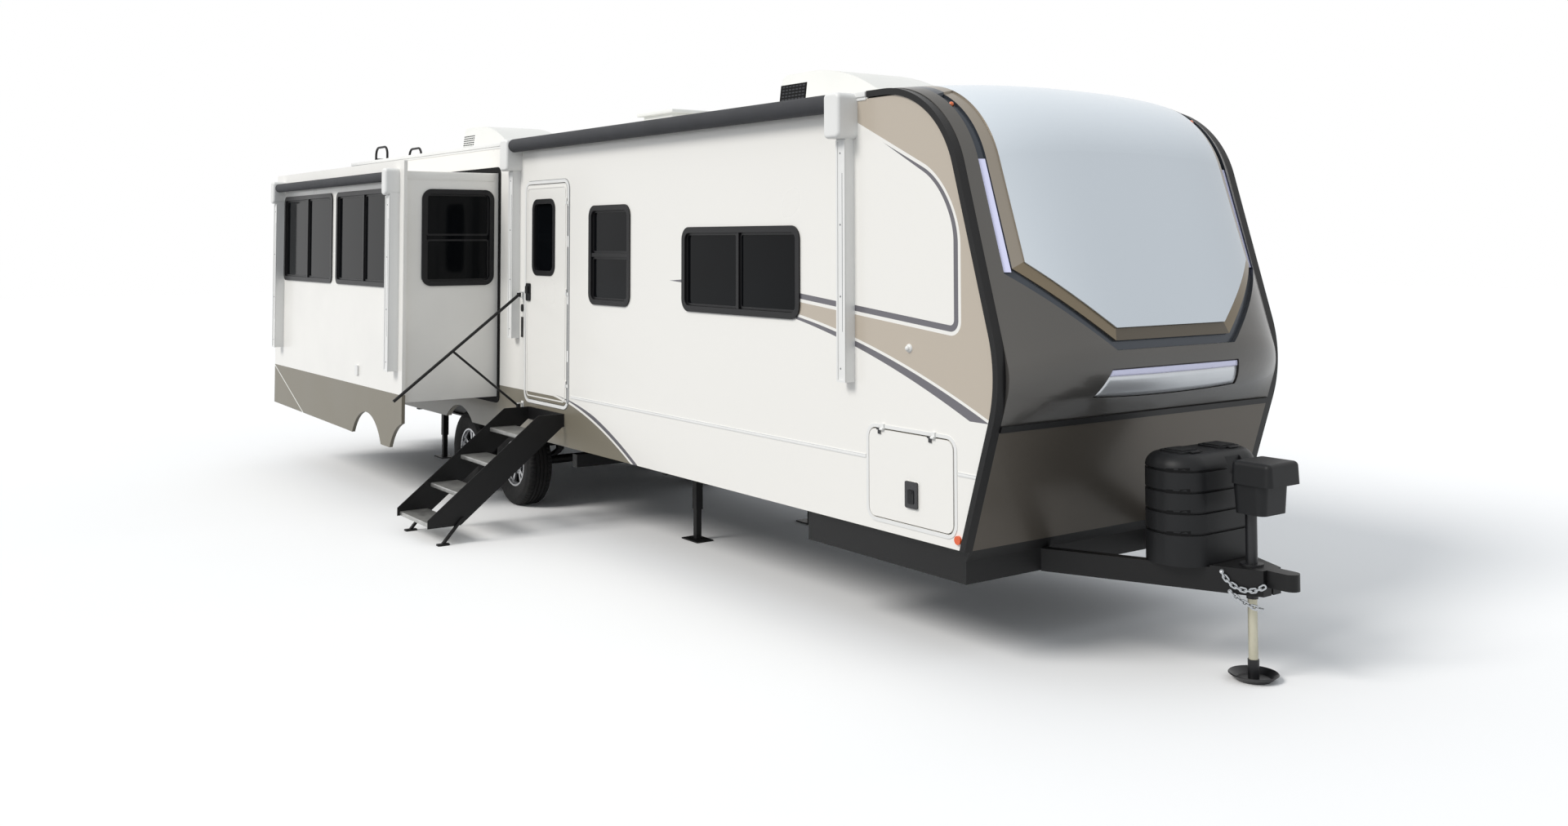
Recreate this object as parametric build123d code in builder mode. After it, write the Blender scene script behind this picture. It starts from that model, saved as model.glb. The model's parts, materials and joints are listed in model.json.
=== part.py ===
"""Tandem-axle travel trailer with two slide-out rooms, in millimetres.

Frame: the origin is the centre of the coupler's ball socket, +X points forwards
to the tow vehicle, +Y to the road side (left) and +Z up. The door side is -Y.
Heights are above the ground, and GROUND turns them into Z.
"""

from build123d import *

import os
from math import cos, radians, sin, sqrt, tan

# Body shell
COUPLER_HEIGHT = 550
GROUND = -COUPLER_HEIGHT
BODY_REAR_X = -11260
BODY_WIDTH = 2438
WALL = 50
ROOF_EDGE_HEIGHT = 3240
ROOF_THICKNESS = 45
ROOF_CROWN = 60
WALL_BOTTOM_HEIGHT = 666
DECK_TOP, DECK_THICKNESS = 935, 94
HALF_WIDTH = BODY_WIDTH / 2
INNER_HALF = HALF_WIDTH - WALL
WALL_TOP_HEIGHT = ROOF_EDGE_HEIGHT - ROOF_THICKNESS

# Nose profile: corners of the side outline before rounding, and the black edge trim
NOSE_TOP_X = -1333
NOSE_TIP_X, NOSE_TIP_HEIGHT = -857, 1606
NOSE_BOTTOM_X = -1160
CREST_RADIUS, BROW_RADIUS = 640, 850
TRIM_BAND, TRIM_PROUD, TRIM_END_X = 38, 10, -1980
CAP_THICKNESS = 50
CAP_BOTTOM_HEIGHT = 1357
CHIN_TRIM_HEIGHT = 34

# Raised white panel on the cap, stepped down through a bevel and a channel: distances from
# the centreline and heights, widths and depths
PANEL_HALF, PANEL_KNEE, PANEL_FOOT, PANEL_FOOT_HALF = 975, 2231, 1868, 475
BEVEL_WIDTH, BEVEL_DEPTH, CHANNEL_WIDTH, CHANNEL_DEPTH = 69, 10, 52, 26
RELIEF_REAR_X, RELIEF_TOP_HEIGHT = -1500, 3600
RECESS_TOP, RECESS_CORNER, RECESS_BOTTOM, RECESS_DEPTH = (553, 1648), (624, 1491), 1470, 16
LIGHT_STRIP, LIGHT_STRIP_INSET = (1052, 1092, 2176, 2800), 10

# Side markers and tail lamps: distance or X, height, size, depth
MARKER_X, MARKER_HEIGHT, MARKER_RADIUS, MARKER_DEPTH = NOSE_BOTTOM_X - 52, 722, 24, 14
TAIL_LAMP_Y, TAIL_LAMP_HEIGHT, TAIL_LAMP_SIZE, TAIL_LAMP_DEPTH = 1020, 1450, (120, 420), 24

# Running clearances
SEAT = 0.3  # between pieces of different bodies that rest on each other
BODY_GAP = 6  # between bodies that pass each other

# Frames on the door side: rear x, front x, low height, high height
DOOR = (-6663, -5833, 967, 2861)
DOOR_WINDOW = (-6510, -6080, 2055, 2705)
STORAGE = (-1975, -1243, 737, 1257)
DOOR_RADIUS, STORAGE_RADIUS = 90, 60
DOOR_FRAME_BAND, DOOR_FRAME_PROUD = 26, 8
DOOR_THICKNESS = 45
PANEL_GAP = 7
HANDLE_X, HANDLE_HEIGHT = -6575, 1910
HANDLE_SIZE, HANDLE_DEPTH = (76, 150), 14
HINGE_OUT = 17  # hinge axes outside the wall face
KNUCKLE_RADIUS, KNUCKLE_LENGTH = 7, 26
PIN_RADIUS, PIN_CLEARANCE = 3, 0.05
STRAP_LENGTH, STRAP_FROM_AXIS = 30, 4
DOOR_HINGE_HEIGHTS = (1150, 1900, 2650)
BAGGAGE_HINGE_X = (-1830, -1390)

# Windows: side, rear x, front x, low height, high height, corner radius, bar along
BODY_WINDOWS = (
    (-1, -4068, -2654, 1848, 2446, 90, "Z"),
    (-1, -5484, -4824, 1845, 2630, 90, "X"),
    (1, -4068, -2654, 1848, 2446, 90, "Z"),
    (1, -6500, -5900, 1985, 2560, 90, "X"),
)
WINDOW_BAND, WINDOW_PROUD = 42, 12
GLASS_INSET, GLASS_THICKNESS = 14, 6
WINDOW_BAR = 30

# Slide-out rooms, the same on both sides
SLIDE_REAR_X, SLIDE_FRONT_X = BODY_REAR_X + 305, -7240
SLIDE_DEPTH = 895
SLIDE_LOW, SLIDE_HIGH = 955, 2960
SLIDE_WALL = 45
SLIDE_CORNER = 5
SLIDE_INSIDE = 70
FASCIA_THICKNESS = 30
FASCIA_SIDE_LAP, FASCIA_TOP_LAP = 45, 95
OPENING_MARGIN = 25
GUIDE_WIDTH, GUIDE_INNER, GUIDE_COUNT = 120, 300, 4
SKIRT_TOP = 1025
# Lower edge of the skirt: x, height
SKIRT_EDGE = (
    (SLIDE_FRONT_X + FASCIA_SIDE_LAP, 550),
    (SLIDE_FRONT_X - 410, 550),
    (SLIDE_FRONT_X - 1360, 580),
    (SLIDE_REAR_X - FASCIA_SIDE_LAP, 620),
)
# Face windows: rear x, front x, low height, high height, corner radius, bar along
FACE_WINDOWS = (
    (SLIDE_REAR_X + 265, SLIDE_REAR_X + 1855, 1940, 2820, 70, "Z"),
    (SLIDE_FRONT_X - 1740, SLIDE_FRONT_X - 200, 1940, 2820, 70, "Z"),
)
# Window in the slide's front end: distances from the centreline, heights
END_WINDOW = (1262, 1935, 1955, 2807)

# Running gear
AXLE_X = (-7090, -8090)
TYRE_RADIUS, TYRE_WIDTH, TYRE_SHOULDER = 367, 235, 42
RIM_RADIUS, RIM_WALL, RIM_WIDTH = 200, 14, 190
RIM_DISC, RIM_DISC_THICKNESS = 40, 26
SPOKES, SPOKE_PAIR_ANGLE = 5, 17
HUB_RADIUS = 62
SPINDLE_RADIUS, HUB_CLEARANCE = 30, 0.05
TRACK_HALF = 1020
ARCH_RADIUS = 430
AXLE_RADIUS = 38
DRUM_RADIUS, DRUM_WIDTH = 140, 52
SPRING_HALF, SPRING_RISE = 330, 105
SPRING_THICKNESS, SPRING_WIDTH = 30, 60

# Chassis
RAIL_Y = 820
RAIL_HEIGHT, RAIL_WIDTH, RAIL_WEB, RAIL_FLANGE = 254, 100, 12, 14
RAIL_REAR_X, RAIL_FRONT_X = BODY_REAR_X + 60, -2640
RAIL_BOTTOM = DECK_TOP - DECK_THICKNESS - RAIL_HEIGHT
CROSSMEMBER_COUNT = 9
UNDERBELLY_THICKNESS = 12
CROSS_TUBE_X, CROSS_TUBE_LENGTH, CROSS_TUBE = -5950, 2200, (75, 105)
PAN_REAR_X, PAN_FRONT_X, PAN_BOTTOM, PAN_SHEET = RAIL_FRONT_X, -1210, 475, 12
PAN_RISE = 125
PLATFORM_HEIGHT, PLATFORM_THICKNESS = 1330, 40
TONGUE_TIP_X, TONGUE_TIP_Y, TONGUE_ANGLE = -110, 42, 25
TONGUE_BOTTOM, TONGUE_HEIGHT, TONGUE_WIDTH = 470, 127, 62
BUMPER_X, BUMPER_SIZE, BUMPER_HEIGHT = BODY_REAR_X - 150, 102, 560
BUMPER_LENGTH = BODY_WIDTH - 138

# Coupler and jack
SOCKET_RADIUS, SOCKET_THROAT = 30, 32
COUPLER_NOSE_RADIUS, COUPLER_TOP = 48, 46
COUPLER_PLATE, COUPLER_PLATE_REAR_X = 10, -360
JACK_X, JACK_RADIUS, JACK_INNER_RADIUS = -234, 31, 25
JACK_FOOT_WIDTH, JACK_FOOT_THICKNESS, JACK_FOOT_DISH = 264, 8, (180, 34)
JACK_SLEEVE_TOP = 109
JACK_TUBE_BOTTOM, JACK_TUBE_TOP = 430, 895
# Motor housing and the wider lid over it: length, width, height
JACK_HOUSING, JACK_LID = (184, 226, 160), (250, 285, 120)
# Safety chains on the door-side face of the tongue: X and height of the start, angles of
# the first and the last link, number of links
CHAINS = ((-300, 585, -62, 34, 10), (-262, 486, -45, -5, 7))
CHAIN_WIRE, CHAIN_LINK, CHAIN_PLAY, CHAIN_EYE_RADIUS = 8, (46, 29), 1.2, 11
COVER_X, COVER_LENGTH, COVER_WIDTH, COVER_HEIGHT = -560, 370, 700, 590
COVER_RADIUS, COVER_SLOTS, COVER_SLOT = 165, 4, 14
# Oval recess in the front of the cover: distance from the centreline, height, size, depth
COVER_RECESS = (62, 1138, 136, 156, 22)

# Stabiliser legs: x of each pair
STABILISER_X = (-4910, BODY_REAR_X + 1200)
STABILISER_Y, STABILISER_TUBE, STABILISER_FOOT = 560, 60, (230, 150, 10)

# Entry steps
STEP_X, STEP_WIDTH = -6240, 640
STEP_RISE, STEP_RUN, STEP_COUNT = 204, 257, 4
STEP_FIRST_HEIGHT, STEP_FIRST_Y = 168, -2355
TREAD_DEPTH, TREAD_THICKNESS, STRINGER = 235, 34, 8
STRINGER_TOP, STRINGER_DEPTH = 930, 270
STEP_MOUNT = 14
STEP_FOOT = (60, 95, 12)
STEP_LEG = 26

# Handrail
RAIL_PIVOT_X, RAIL_PIVOT_Y = -6700, -1262
HANDRAIL_TOP, HANDRAIL_LOW, STRUT_LOW = 1883, 1037, 925
HANDRAIL_REACH, STRUT_REACH = 1105, 600
HANDRAIL_RADIUS, STRUT_RADIUS = 15, 10
BRACKET_WIDTH, BRACKET_PLATE, BRACKET_LUG = 44, 6, 7
HANDRAIL_KNUCKLE, HANDRAIL_PIN = 36, 5

# Patio awning on the door side: rear x and front x of each arm, low height
AWNING_ARMS = ((-6862, -6778, 1503), (-2190, -2106, 1503))
AWNING_HEAD_LOW, AWNING_HEAD_HIGH = 2960, 3236
AWNING_ARM_DEPTH, AWNING_HEAD_DEPTH = 70, 150
AWNING_HEAD_WIDTH, HEAD_CORNER, HEAD_ROUND = 150, 34, 22
ROLLER_RADIUS, ROLLER_HEIGHT = 58, 3180
# Small awning over the slide
TOPPER_ARMS = (
    (SLIDE_REAR_X + 155, SLIDE_REAR_X + 255, 1225),
    (SLIDE_FRONT_X - 160, SLIDE_FRONT_X - 60, 1225),
)
TOPPER_ARM_DEPTH, TOPPER_HEAD_DEPTH, TOPPER_HEAD_WIDTH = 86, 130, 108
TOPPER_HEAD_LOW, TOPPER_HEAD_HIGH, TOPPER_RADIUS, TOPPER_HEIGHT = 2750, 2985, 44, 2915

# Roof equipment: x of the middle, length, width, height
AIR_CONDITIONERS = ((-3525, 1250, 720, 300), (BODY_REAR_X + 1670, 1250, 720, 300))
AIR_LOUVRES = 5
VENTS = ((-5210, -550, 500, 420, 75), (BODY_REAR_X + 3260, 300, 420, 420, 110))
LADDER_Y, LADDER_HALF, LADDER_TUBE, LADDER_STAND = -700, 200, 13, 110
LADDER_RUNGS, LADDER_LOW, LADDER_HOOK = 8, 760, (260, 190)


def export(builder, name):
    """Label a finished piece and write it."""
    builder.part.label = name
    export_step(builder.part, f"parts/{name}.step")
    print(name, len(builder.part.solids()), round(builder.part.volume / 1e6, 2))


def height(value):
    """Z of a height above the ground."""
    return GROUND + value


def side_plane(side, near, thickness):
    """Plane whose extrusion by thickness fills near..near + thickness on one side."""
    return Plane.XZ.offset(near if side < 0 else -(near + thickness))


def panel(frame, radius, grow=0.0, mode=Mode.ADD):
    """Rounded rectangle of a frame (rear, front, low, high) in the open sketch."""
    rear, front, low, high = frame
    with Locations(((rear + front) / 2, height((low + high) / 2))):
        RectangleRounded(
            front - rear + 2 * grow, high - low + 2 * grow, radius + grow, mode=mode
        )


def bar_across(frame, along):
    """Meeting bar of a sliding window (Z) or of a window split at its middle (X)."""
    rear, front, low, high = frame
    inset = WINDOW_BAND / 2
    with Locations(((rear + front) / 2, height((low + high) / 2))):
        if along == "Z":
            Rectangle(WINDOW_BAR, high - low - 2 * inset)
        else:
            Rectangle(front - rear - 2 * inset, WINDOW_BAR)


def nose_corners(bulge=0.0, crown=0.0):
    """Corners of the side outline, from the roof's front end down to the chassis."""
    return (
        (NOSE_TOP_X + bulge / 2, height(ROOF_EDGE_HEIGHT + crown)),
        (NOSE_TIP_X + bulge, height(NOSE_TIP_HEIGHT)),
        (NOSE_BOTTOM_X, height(WALL_BOTTOM_HEIGHT)),
    )


def nose_x(at_height):
    """X of the straight lower nose at a height."""
    share = (at_height - WALL_BOTTOM_HEIGHT) / (NOSE_TIP_HEIGHT - WALL_BOTTOM_HEIGHT)
    return NOSE_BOTTOM_X + share * (NOSE_TIP_X - NOSE_BOTTOM_X)


def side_face(inset=0.0):
    """Side outline of the body, its nose set back by inset, in the open sketch."""
    margin = 400
    crest, tip, bottom = nose_corners()
    slope = (bottom[0] - tip[0]) / (bottom[1] - tip[1])
    low = height(WALL_BOTTOM_HEIGHT) - margin
    with BuildSketch(mode=Mode.PRIVATE) as full:
        with BuildLine():
            FilletPolyline(
                (BODY_REAR_X - margin, crest[1]),
                crest,
                tip,
                (bottom[0] - margin * slope, low),
                radius=(CREST_RADIUS, BROW_RADIUS),
            )
            Polyline(
                (bottom[0] - margin * slope, low),
                (BODY_REAR_X - margin, low),
                (BODY_REAR_X - margin, crest[1]),
            )
        make_face()
        if inset:
            offset(amount=-inset, kind=Kind.INTERSECTION)
    add(full.sketch)


def body_box(low, high, front=0):
    """Rectangle from the rear wall's back to front, in the open sketch."""
    with Locations(((BODY_REAR_X + front) / 2, height((low + high) / 2))):
        Rectangle(front - BODY_REAR_X, high - low, mode=Mode.INTERSECT)


def slide_opening():
    """Opening of a slide-out in a side wall, in the open sketch."""
    frame = (
        SLIDE_REAR_X - OPENING_MARGIN,
        SLIDE_FRONT_X + OPENING_MARGIN,
        DECK_TOP,
        SLIDE_HIGH + OPENING_MARGIN,
    )
    panel(frame, SLIDE_CORNER, mode=Mode.SUBTRACT)


def wheel_arches():
    """Round arches over both axles, in the open sketch."""
    with Locations([(x, height(TYRE_RADIUS)) for x in AXLE_X]):
        Circle(ARCH_RADIUS, mode=Mode.SUBTRACT)


def hinge_half(plane, turn, face_gap, fixed):
    """Half a hinge on a plane across its axis, its strap along turn (+1 or -1).

    face_gap is the distance from the axis to the face that carries the strap.
    """
    start = 0 if fixed else KNUCKLE_LENGTH + SEAT
    strap = face_gap - STRAP_FROM_AXIS
    with BuildSketch(plane.offset(start)) as knuckle:
        Circle(KNUCKLE_RADIUS)
        with Locations((turn * STRAP_LENGTH / 2, face_gap - strap / 2)):
            Rectangle(STRAP_LENGTH, strap)
    extrude(knuckle.sketch, amount=KNUCKLE_LENGTH)
    with BuildSketch(plane) as pin:
        Circle(PIN_RADIUS if fixed else PIN_RADIUS + PIN_CLEARANCE)
    reach = 2 * KNUCKLE_LENGTH + 2 * SEAT
    extrude(pin.sketch, amount=reach, mode=Mode.ADD if fixed else Mode.SUBTRACT)


DOOR_HINGE_X = DOOR[1] - DOOR_FRAME_BAND - PANEL_GAP / 2


def door_hinge_plane(at_height):
    """Plane across the entry door's hinge axis, its Y towards the wall."""
    return Plane(origin=(DOOR_HINGE_X, -HALF_WIDTH - HINGE_OUT, height(at_height)))


def baggage_hinge_plane(side, x):
    """Plane across a baggage door's hinge axis, its X up and its Y towards the wall."""
    axis_point = (x, side * (HALF_WIDTH + HINGE_OUT), height(STORAGE[3] - PANEL_GAP / 2))
    return Plane(origin=axis_point, x_dir=(0, 0, 1), z_dir=(side, 0, 0))


os.makedirs("parts", exist_ok=True)

# Side walls, with their windows, doors, wheel arches and slide-out openings cut
for side, name in ((-1, "wall_right"), (1, "wall_left")):
    with BuildPart() as wall:
        with BuildSketch(side_plane(side, INNER_HALF, WALL)):
            side_face(TRIM_BAND)
            body_box(WALL_BOTTOM_HEIGHT, WALL_TOP_HEIGHT)
            slide_opening()
            wheel_arches()
            panel(STORAGE, STORAGE_RADIUS, mode=Mode.SUBTRACT)
            if side < 0:
                panel(DOOR, DOOR_RADIUS, mode=Mode.SUBTRACT)
            for window in BODY_WINDOWS:
                if window[0] == side:
                    panel(window[1:5], window[5], mode=Mode.SUBTRACT)
        extrude(amount=WALL)
    export(wall, name)

# Black trim that follows the edge of each side wall and crosses under the front cap
with BuildPart() as edge_trim:
    trim_width = WALL + TRIM_PROUD
    for side in (-1, 1):
        with BuildSketch(side_plane(side, INNER_HALF, trim_width)):
            side_face()
            body_box(WALL_BOTTOM_HEIGHT, ROOF_EDGE_HEIGHT)
            with Locations(((TRIM_END_X + BODY_REAR_X) / 2, 0)):
                Rectangle(TRIM_END_X - BODY_REAR_X, 3 * ROOF_EDGE_HEIGHT, mode=Mode.SUBTRACT)
            with BuildSketch(mode=Mode.PRIVATE) as inner:
                side_face(TRIM_BAND)
            add(inner.sketch, mode=Mode.SUBTRACT)
        extrude(amount=trim_width)
    chin_low = CAP_BOTTOM_HEIGHT - CHIN_TRIM_HEIGHT
    with BuildSketch(Plane.XZ.offset(-INNER_HALF)):
        with BuildLine():
            Polyline(
                (nose_x(chin_low) + TRIM_PROUD, height(chin_low)),
                (nose_x(CAP_BOTTOM_HEIGHT) + TRIM_PROUD, height(CAP_BOTTOM_HEIGHT)),
                (nose_x(CAP_BOTTOM_HEIGHT) - CAP_THICKNESS, height(CAP_BOTTOM_HEIGHT)),
                (nose_x(chin_low) - CAP_THICKNESS, height(chin_low)),
                close=True,
            )
        make_face()
    extrude(amount=2 * INNER_HALF)
export(edge_trim, "edge_trim")

# Bulged front cap between the trims: distance from the centreline, bulge
CAP_SECTIONS = ((-INNER_HALF, 0), (-860, 165), (0, 215), (860, 165), (INNER_HALF, 0))


def cap_section(y, bulge, inset):
    """Section of the cap at a distance from the centreline, on its own plane."""
    crown = ROOF_CROWN * (1 - (y / HALF_WIDTH) ** 2)
    crest, tip, bottom = nose_corners(bulge, crown)
    chin_z = height(CAP_BOTTOM_HEIGHT)
    chin = (nose_x(CAP_BOTTOM_HEIGHT), chin_z)
    with BuildSketch(Plane.XZ.offset(-y)) as section:
        with BuildLine():
            FilletPolyline(
                (TRIM_END_X, crest[1] - inset),
                (crest[0] - inset * 0.8, crest[1] - inset),
                (tip[0] - inset * 1.05, tip[1]),
                (chin[0] - inset, chin_z),
                radius=(CREST_RADIUS - inset, BROW_RADIUS / 3),
            )
            Polyline(
                (chin[0] - inset, chin_z),
                (TRIM_END_X, chin_z),
                (TRIM_END_X, crest[1] - inset),
            )
        make_face()
    return section.sketch


def cap_body(inset, mode=Mode.ADD):
    """Solid of the cap set in by inset, in the open part."""
    loft([cap_section(y, bulge, inset) for y, bulge in CAP_SECTIONS], mode=mode)


def panel_outline(grow):
    """Outline of the raised panel, grown by a distance."""
    low, knee, top = height(PANEL_FOOT), height(PANEL_KNEE), height(RELIEF_TOP_HEIGHT)
    with BuildSketch(mode=Mode.PRIVATE) as front:
        with BuildLine():
            Polyline(
                (-PANEL_HALF, top),
                (-PANEL_HALF, knee),
                (-PANEL_FOOT_HALF, low),
                (PANEL_FOOT_HALF, low),
                (PANEL_HALF, knee),
                (PANEL_HALF, top),
                close=True,
            )
        make_face()
        if grow:
            offset(amount=grow, kind=Kind.INTERSECTION)
    return front.sketch


def recess_outline():
    """Outline of the recess below the raised panel."""
    (top_y, top), (corner_y, corner) = RECESS_TOP, RECESS_CORNER
    with BuildSketch(mode=Mode.PRIVATE) as front:
        with BuildLine():
            Polyline(
                (corner_y, height(corner)),
                (top_y, height(top)),
                (-top_y, height(top)),
                (-corner_y, height(corner)),
            )
            ThreePointArc(
                (-corner_y, height(corner)), (0, height(RECESS_BOTTOM)), (corner_y, height(corner))
            )
        make_face()
    return front.sketch


def strip_outline():
    """Outline of the two light strips in the channel."""
    near, far, low, high = LIGHT_STRIP
    with BuildSketch(mode=Mode.PRIVATE) as front:
        with Locations([(side * (near + far) / 2, height((low + high) / 2)) for side in (-1, 1)]):
            Rectangle(far - near, high - low)
    return front.sketch


def cap_layer(outer, inner, start, end):
    """Layer of the cap's skin from start to end deep, between two outlines."""
    with BuildPart(mode=Mode.PRIVATE) as layer:
        cap_body(start)
        cap_body(end, Mode.SUBTRACT)
        with BuildPart(mode=Mode.PRIVATE) as column:
            with BuildSketch(Plane.YZ.offset(RELIEF_REAR_X)):
                add(outer)
                if inner:
                    add(inner, mode=Mode.SUBTRACT)
            extrude(amount=-RELIEF_REAR_X)
        add(column.part, mode=Mode.INTERSECT)
    return layer.part


bevel = panel_outline(BEVEL_WIDTH)
channel = panel_outline(BEVEL_WIDTH + CHANNEL_WIDTH)
with BuildPart() as front_cap:
    cap_body(0)
    cap_body(CAP_THICKNESS, Mode.SUBTRACT)
    for layer in (
        cap_layer(bevel, panel_outline(0), 0, BEVEL_DEPTH),
        cap_layer(channel, bevel, 0, CHANNEL_DEPTH),
        cap_layer(recess_outline(), None, 0, RECESS_DEPTH),
    ):
        add(layer, mode=Mode.SUBTRACT)
export(front_cap, "front_cap")

# Flat lower front panel between the trims
with BuildPart() as front_panel:
    panel_top = CAP_BOTTOM_HEIGHT - CHIN_TRIM_HEIGHT
    with BuildSketch(Plane.XZ.offset(-INNER_HALF)):
        with BuildLine():
            Polyline(
                (NOSE_BOTTOM_X, height(WALL_BOTTOM_HEIGHT)),
                (nose_x(panel_top), height(panel_top)),
                (nose_x(panel_top) - WALL, height(panel_top)),
                (NOSE_BOTTOM_X - WALL, height(WALL_BOTTOM_HEIGHT)),
                close=True,
            )
        make_face()
    extrude(amount=2 * INNER_HALF)
export(front_panel, "front_panel")

# Crowned roof resting on the side and rear walls
with BuildPart() as roof:
    with BuildSketch(Plane.YZ.offset(BODY_REAR_X)):
        with BuildLine():
            edge = height(ROOF_EDGE_HEIGHT)
            under = height(WALL_TOP_HEIGHT)
            ThreePointArc((-HALF_WIDTH, edge), (0, edge + ROOF_CROWN), (HALF_WIDTH, edge))
            Polyline(
                (HALF_WIDTH, edge), (HALF_WIDTH, under), (-HALF_WIDTH, under), (-HALF_WIDTH, edge)
            )
        make_face()
    extrude(amount=TRIM_END_X - BODY_REAR_X)
export(roof, "roof")

with BuildPart() as wall_rear:
    with BuildSketch(Plane.YZ.offset(BODY_REAR_X)):
        with Locations((0, height((WALL_BOTTOM_HEIGHT + WALL_TOP_HEIGHT) / 2))):
            Rectangle(2 * INNER_HALF, WALL_TOP_HEIGHT - WALL_BOTTOM_HEIGHT)
    extrude(amount=WALL)
export(wall_rear, "wall_rear")

# Main floor, and the raised bedroom platform with its riser over the front hold
floor_rear = BODY_REAR_X + WALL
with BuildPart() as floor_deck:
    with BuildSketch(Plane.XY.offset(height(DECK_TOP - DECK_THICKNESS))):
        with Locations(((floor_rear + PAN_REAR_X) / 2, 0)):
            Rectangle(PAN_REAR_X - floor_rear, 2 * INNER_HALF)
    extrude(amount=DECK_THICKNESS)
export(floor_deck, "floor_deck")

with BuildPart() as bedroom_platform:
    with BuildSketch(Plane.XZ.offset(-INNER_HALF)):
        riser_front = PAN_REAR_X + PLATFORM_THICKNESS
        under = PLATFORM_HEIGHT - PLATFORM_THICKNESS
        with BuildLine():
            Polyline(
                (PAN_REAR_X, height(WALL_BOTTOM_HEIGHT)),
                (PAN_REAR_X, height(PLATFORM_HEIGHT)),
                (nose_x(under) - WALL - SEAT, height(PLATFORM_HEIGHT)),
                (nose_x(under) - WALL - SEAT, height(under)),
                (riser_front, height(under)),
                (riser_front, height(WALL_BOTTOM_HEIGHT)),
                close=True,
            )
        make_face()
    extrude(amount=2 * INNER_HALF)
export(bedroom_platform, "bedroom_platform")

# Dropped pan that makes the floor of the front hold
with BuildPart() as storage_pan:
    for inset, mode in ((0, Mode.ADD), (PAN_SHEET, Mode.SUBTRACT)):
        with BuildSketch(Plane.XZ.offset(-INNER_HALF + inset)):
            with BuildLine():
                Polyline(
                    (PAN_REAR_X + inset, height(WALL_BOTTOM_HEIGHT)),
                    (PAN_REAR_X + inset, height(PAN_BOTTOM + inset)),
                    (PAN_FRONT_X - inset, height(PAN_BOTTOM + inset)),
                    (PAN_FRONT_X - inset, height(PAN_BOTTOM + PAN_RISE)),
                    (NOSE_BOTTOM_X - 1.4 * inset, height(WALL_BOTTOM_HEIGHT)),
                    close=True,
                )
            make_face()
        extrude(amount=2 * (INNER_HALF - inset), mode=mode)
export(storage_pan, "storage_pan")

# Window frames and panes of the body
with BuildPart() as window_frames:
    for side, rear, front, low, high, radius, along in BODY_WINDOWS:
        frame = (rear, front, low, high)
        with BuildSketch(side_plane(side, INNER_HALF, WALL + WINDOW_PROUD)):
            panel(frame, radius)
            panel(frame, radius, -WINDOW_BAND, mode=Mode.SUBTRACT)
        extrude(amount=WALL + WINDOW_PROUD)
        bar_depth = GLASS_INSET + WINDOW_PROUD / 2
        with BuildSketch(side_plane(side, HALF_WIDTH - GLASS_INSET, bar_depth)):
            bar_across(frame, along)
        extrude(amount=bar_depth)
export(window_frames, "window_frames")

with BuildPart() as window_glass:
    for side, rear, front, low, high, radius, along in BODY_WINDOWS:
        near = HALF_WIDTH - GLASS_INSET - GLASS_THICKNESS
        with BuildSketch(side_plane(side, near, GLASS_THICKNESS)):
            panel((rear, front, low, high), radius, -WINDOW_BAND)
        extrude(amount=GLASS_THICKNESS)
export(window_glass, "window_glass")

# Entry door: aluminium frame in the wall, and the leaf with its own window
with BuildPart() as door_frame:
    with BuildSketch(side_plane(-1, INNER_HALF, WALL + DOOR_FRAME_PROUD)):
        panel(DOOR, DOOR_RADIUS)
        panel(DOOR, DOOR_RADIUS, -DOOR_FRAME_BAND, mode=Mode.SUBTRACT)
    extrude(amount=WALL + DOOR_FRAME_PROUD)
export(door_frame, "door_frame")

LEAF_BAND = DOOR_FRAME_BAND + PANEL_GAP
leaf_near = HALF_WIDTH + DOOR_FRAME_PROUD - DOOR_THICKNESS
with BuildPart() as entry_door:
    with BuildSketch(side_plane(-1, leaf_near, DOOR_THICKNESS)):
        panel(DOOR, DOOR_RADIUS, -LEAF_BAND)
        panel(DOOR_WINDOW, DOOR_RADIUS, mode=Mode.SUBTRACT)
    extrude(amount=DOOR_THICKNESS)
    for at_height in DOOR_HINGE_HEIGHTS:
        hinge_half(door_hinge_plane(at_height), -1, HINGE_OUT - DOOR_FRAME_PROUD, False)
export(entry_door, "entry_door")

# Window frame, and the lever handle in its escutcheon on the rear stile
with BuildPart() as entry_door_trim:
    window_depth = DOOR_THICKNESS + WINDOW_PROUD / 2
    with BuildSketch(side_plane(-1, leaf_near, window_depth)):
        panel(DOOR_WINDOW, DOOR_RADIUS)
        panel(DOOR_WINDOW, DOOR_RADIUS, -WINDOW_BAND, mode=Mode.SUBTRACT)
    extrude(amount=window_depth)
    face = HALF_WIDTH + DOOR_FRAME_PROUD
    with BuildSketch(side_plane(-1, face, HANDLE_DEPTH)):
        with Locations((HANDLE_X, height(HANDLE_HEIGHT))):
            RectangleRounded(*HANDLE_SIZE, 14)
    extrude(amount=HANDLE_DEPTH)
    with BuildSketch(side_plane(-1, face + HANDLE_DEPTH, HANDLE_DEPTH)):
        with Locations((HANDLE_X, height(HANDLE_HEIGHT + 20))):
            RectangleRounded(46, 64, 8)
    extrude(amount=HANDLE_DEPTH)
export(entry_door_trim, "entry_door_trim")

with BuildPart() as entry_door_glass:
    with BuildSketch(side_plane(-1, HALF_WIDTH - GLASS_INSET, GLASS_THICKNESS)):
        panel(DOOR_WINDOW, DOOR_RADIUS, -WINDOW_BAND)
    extrude(amount=GLASS_THICKNESS)
export(entry_door_glass, "entry_door_glass")

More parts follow.
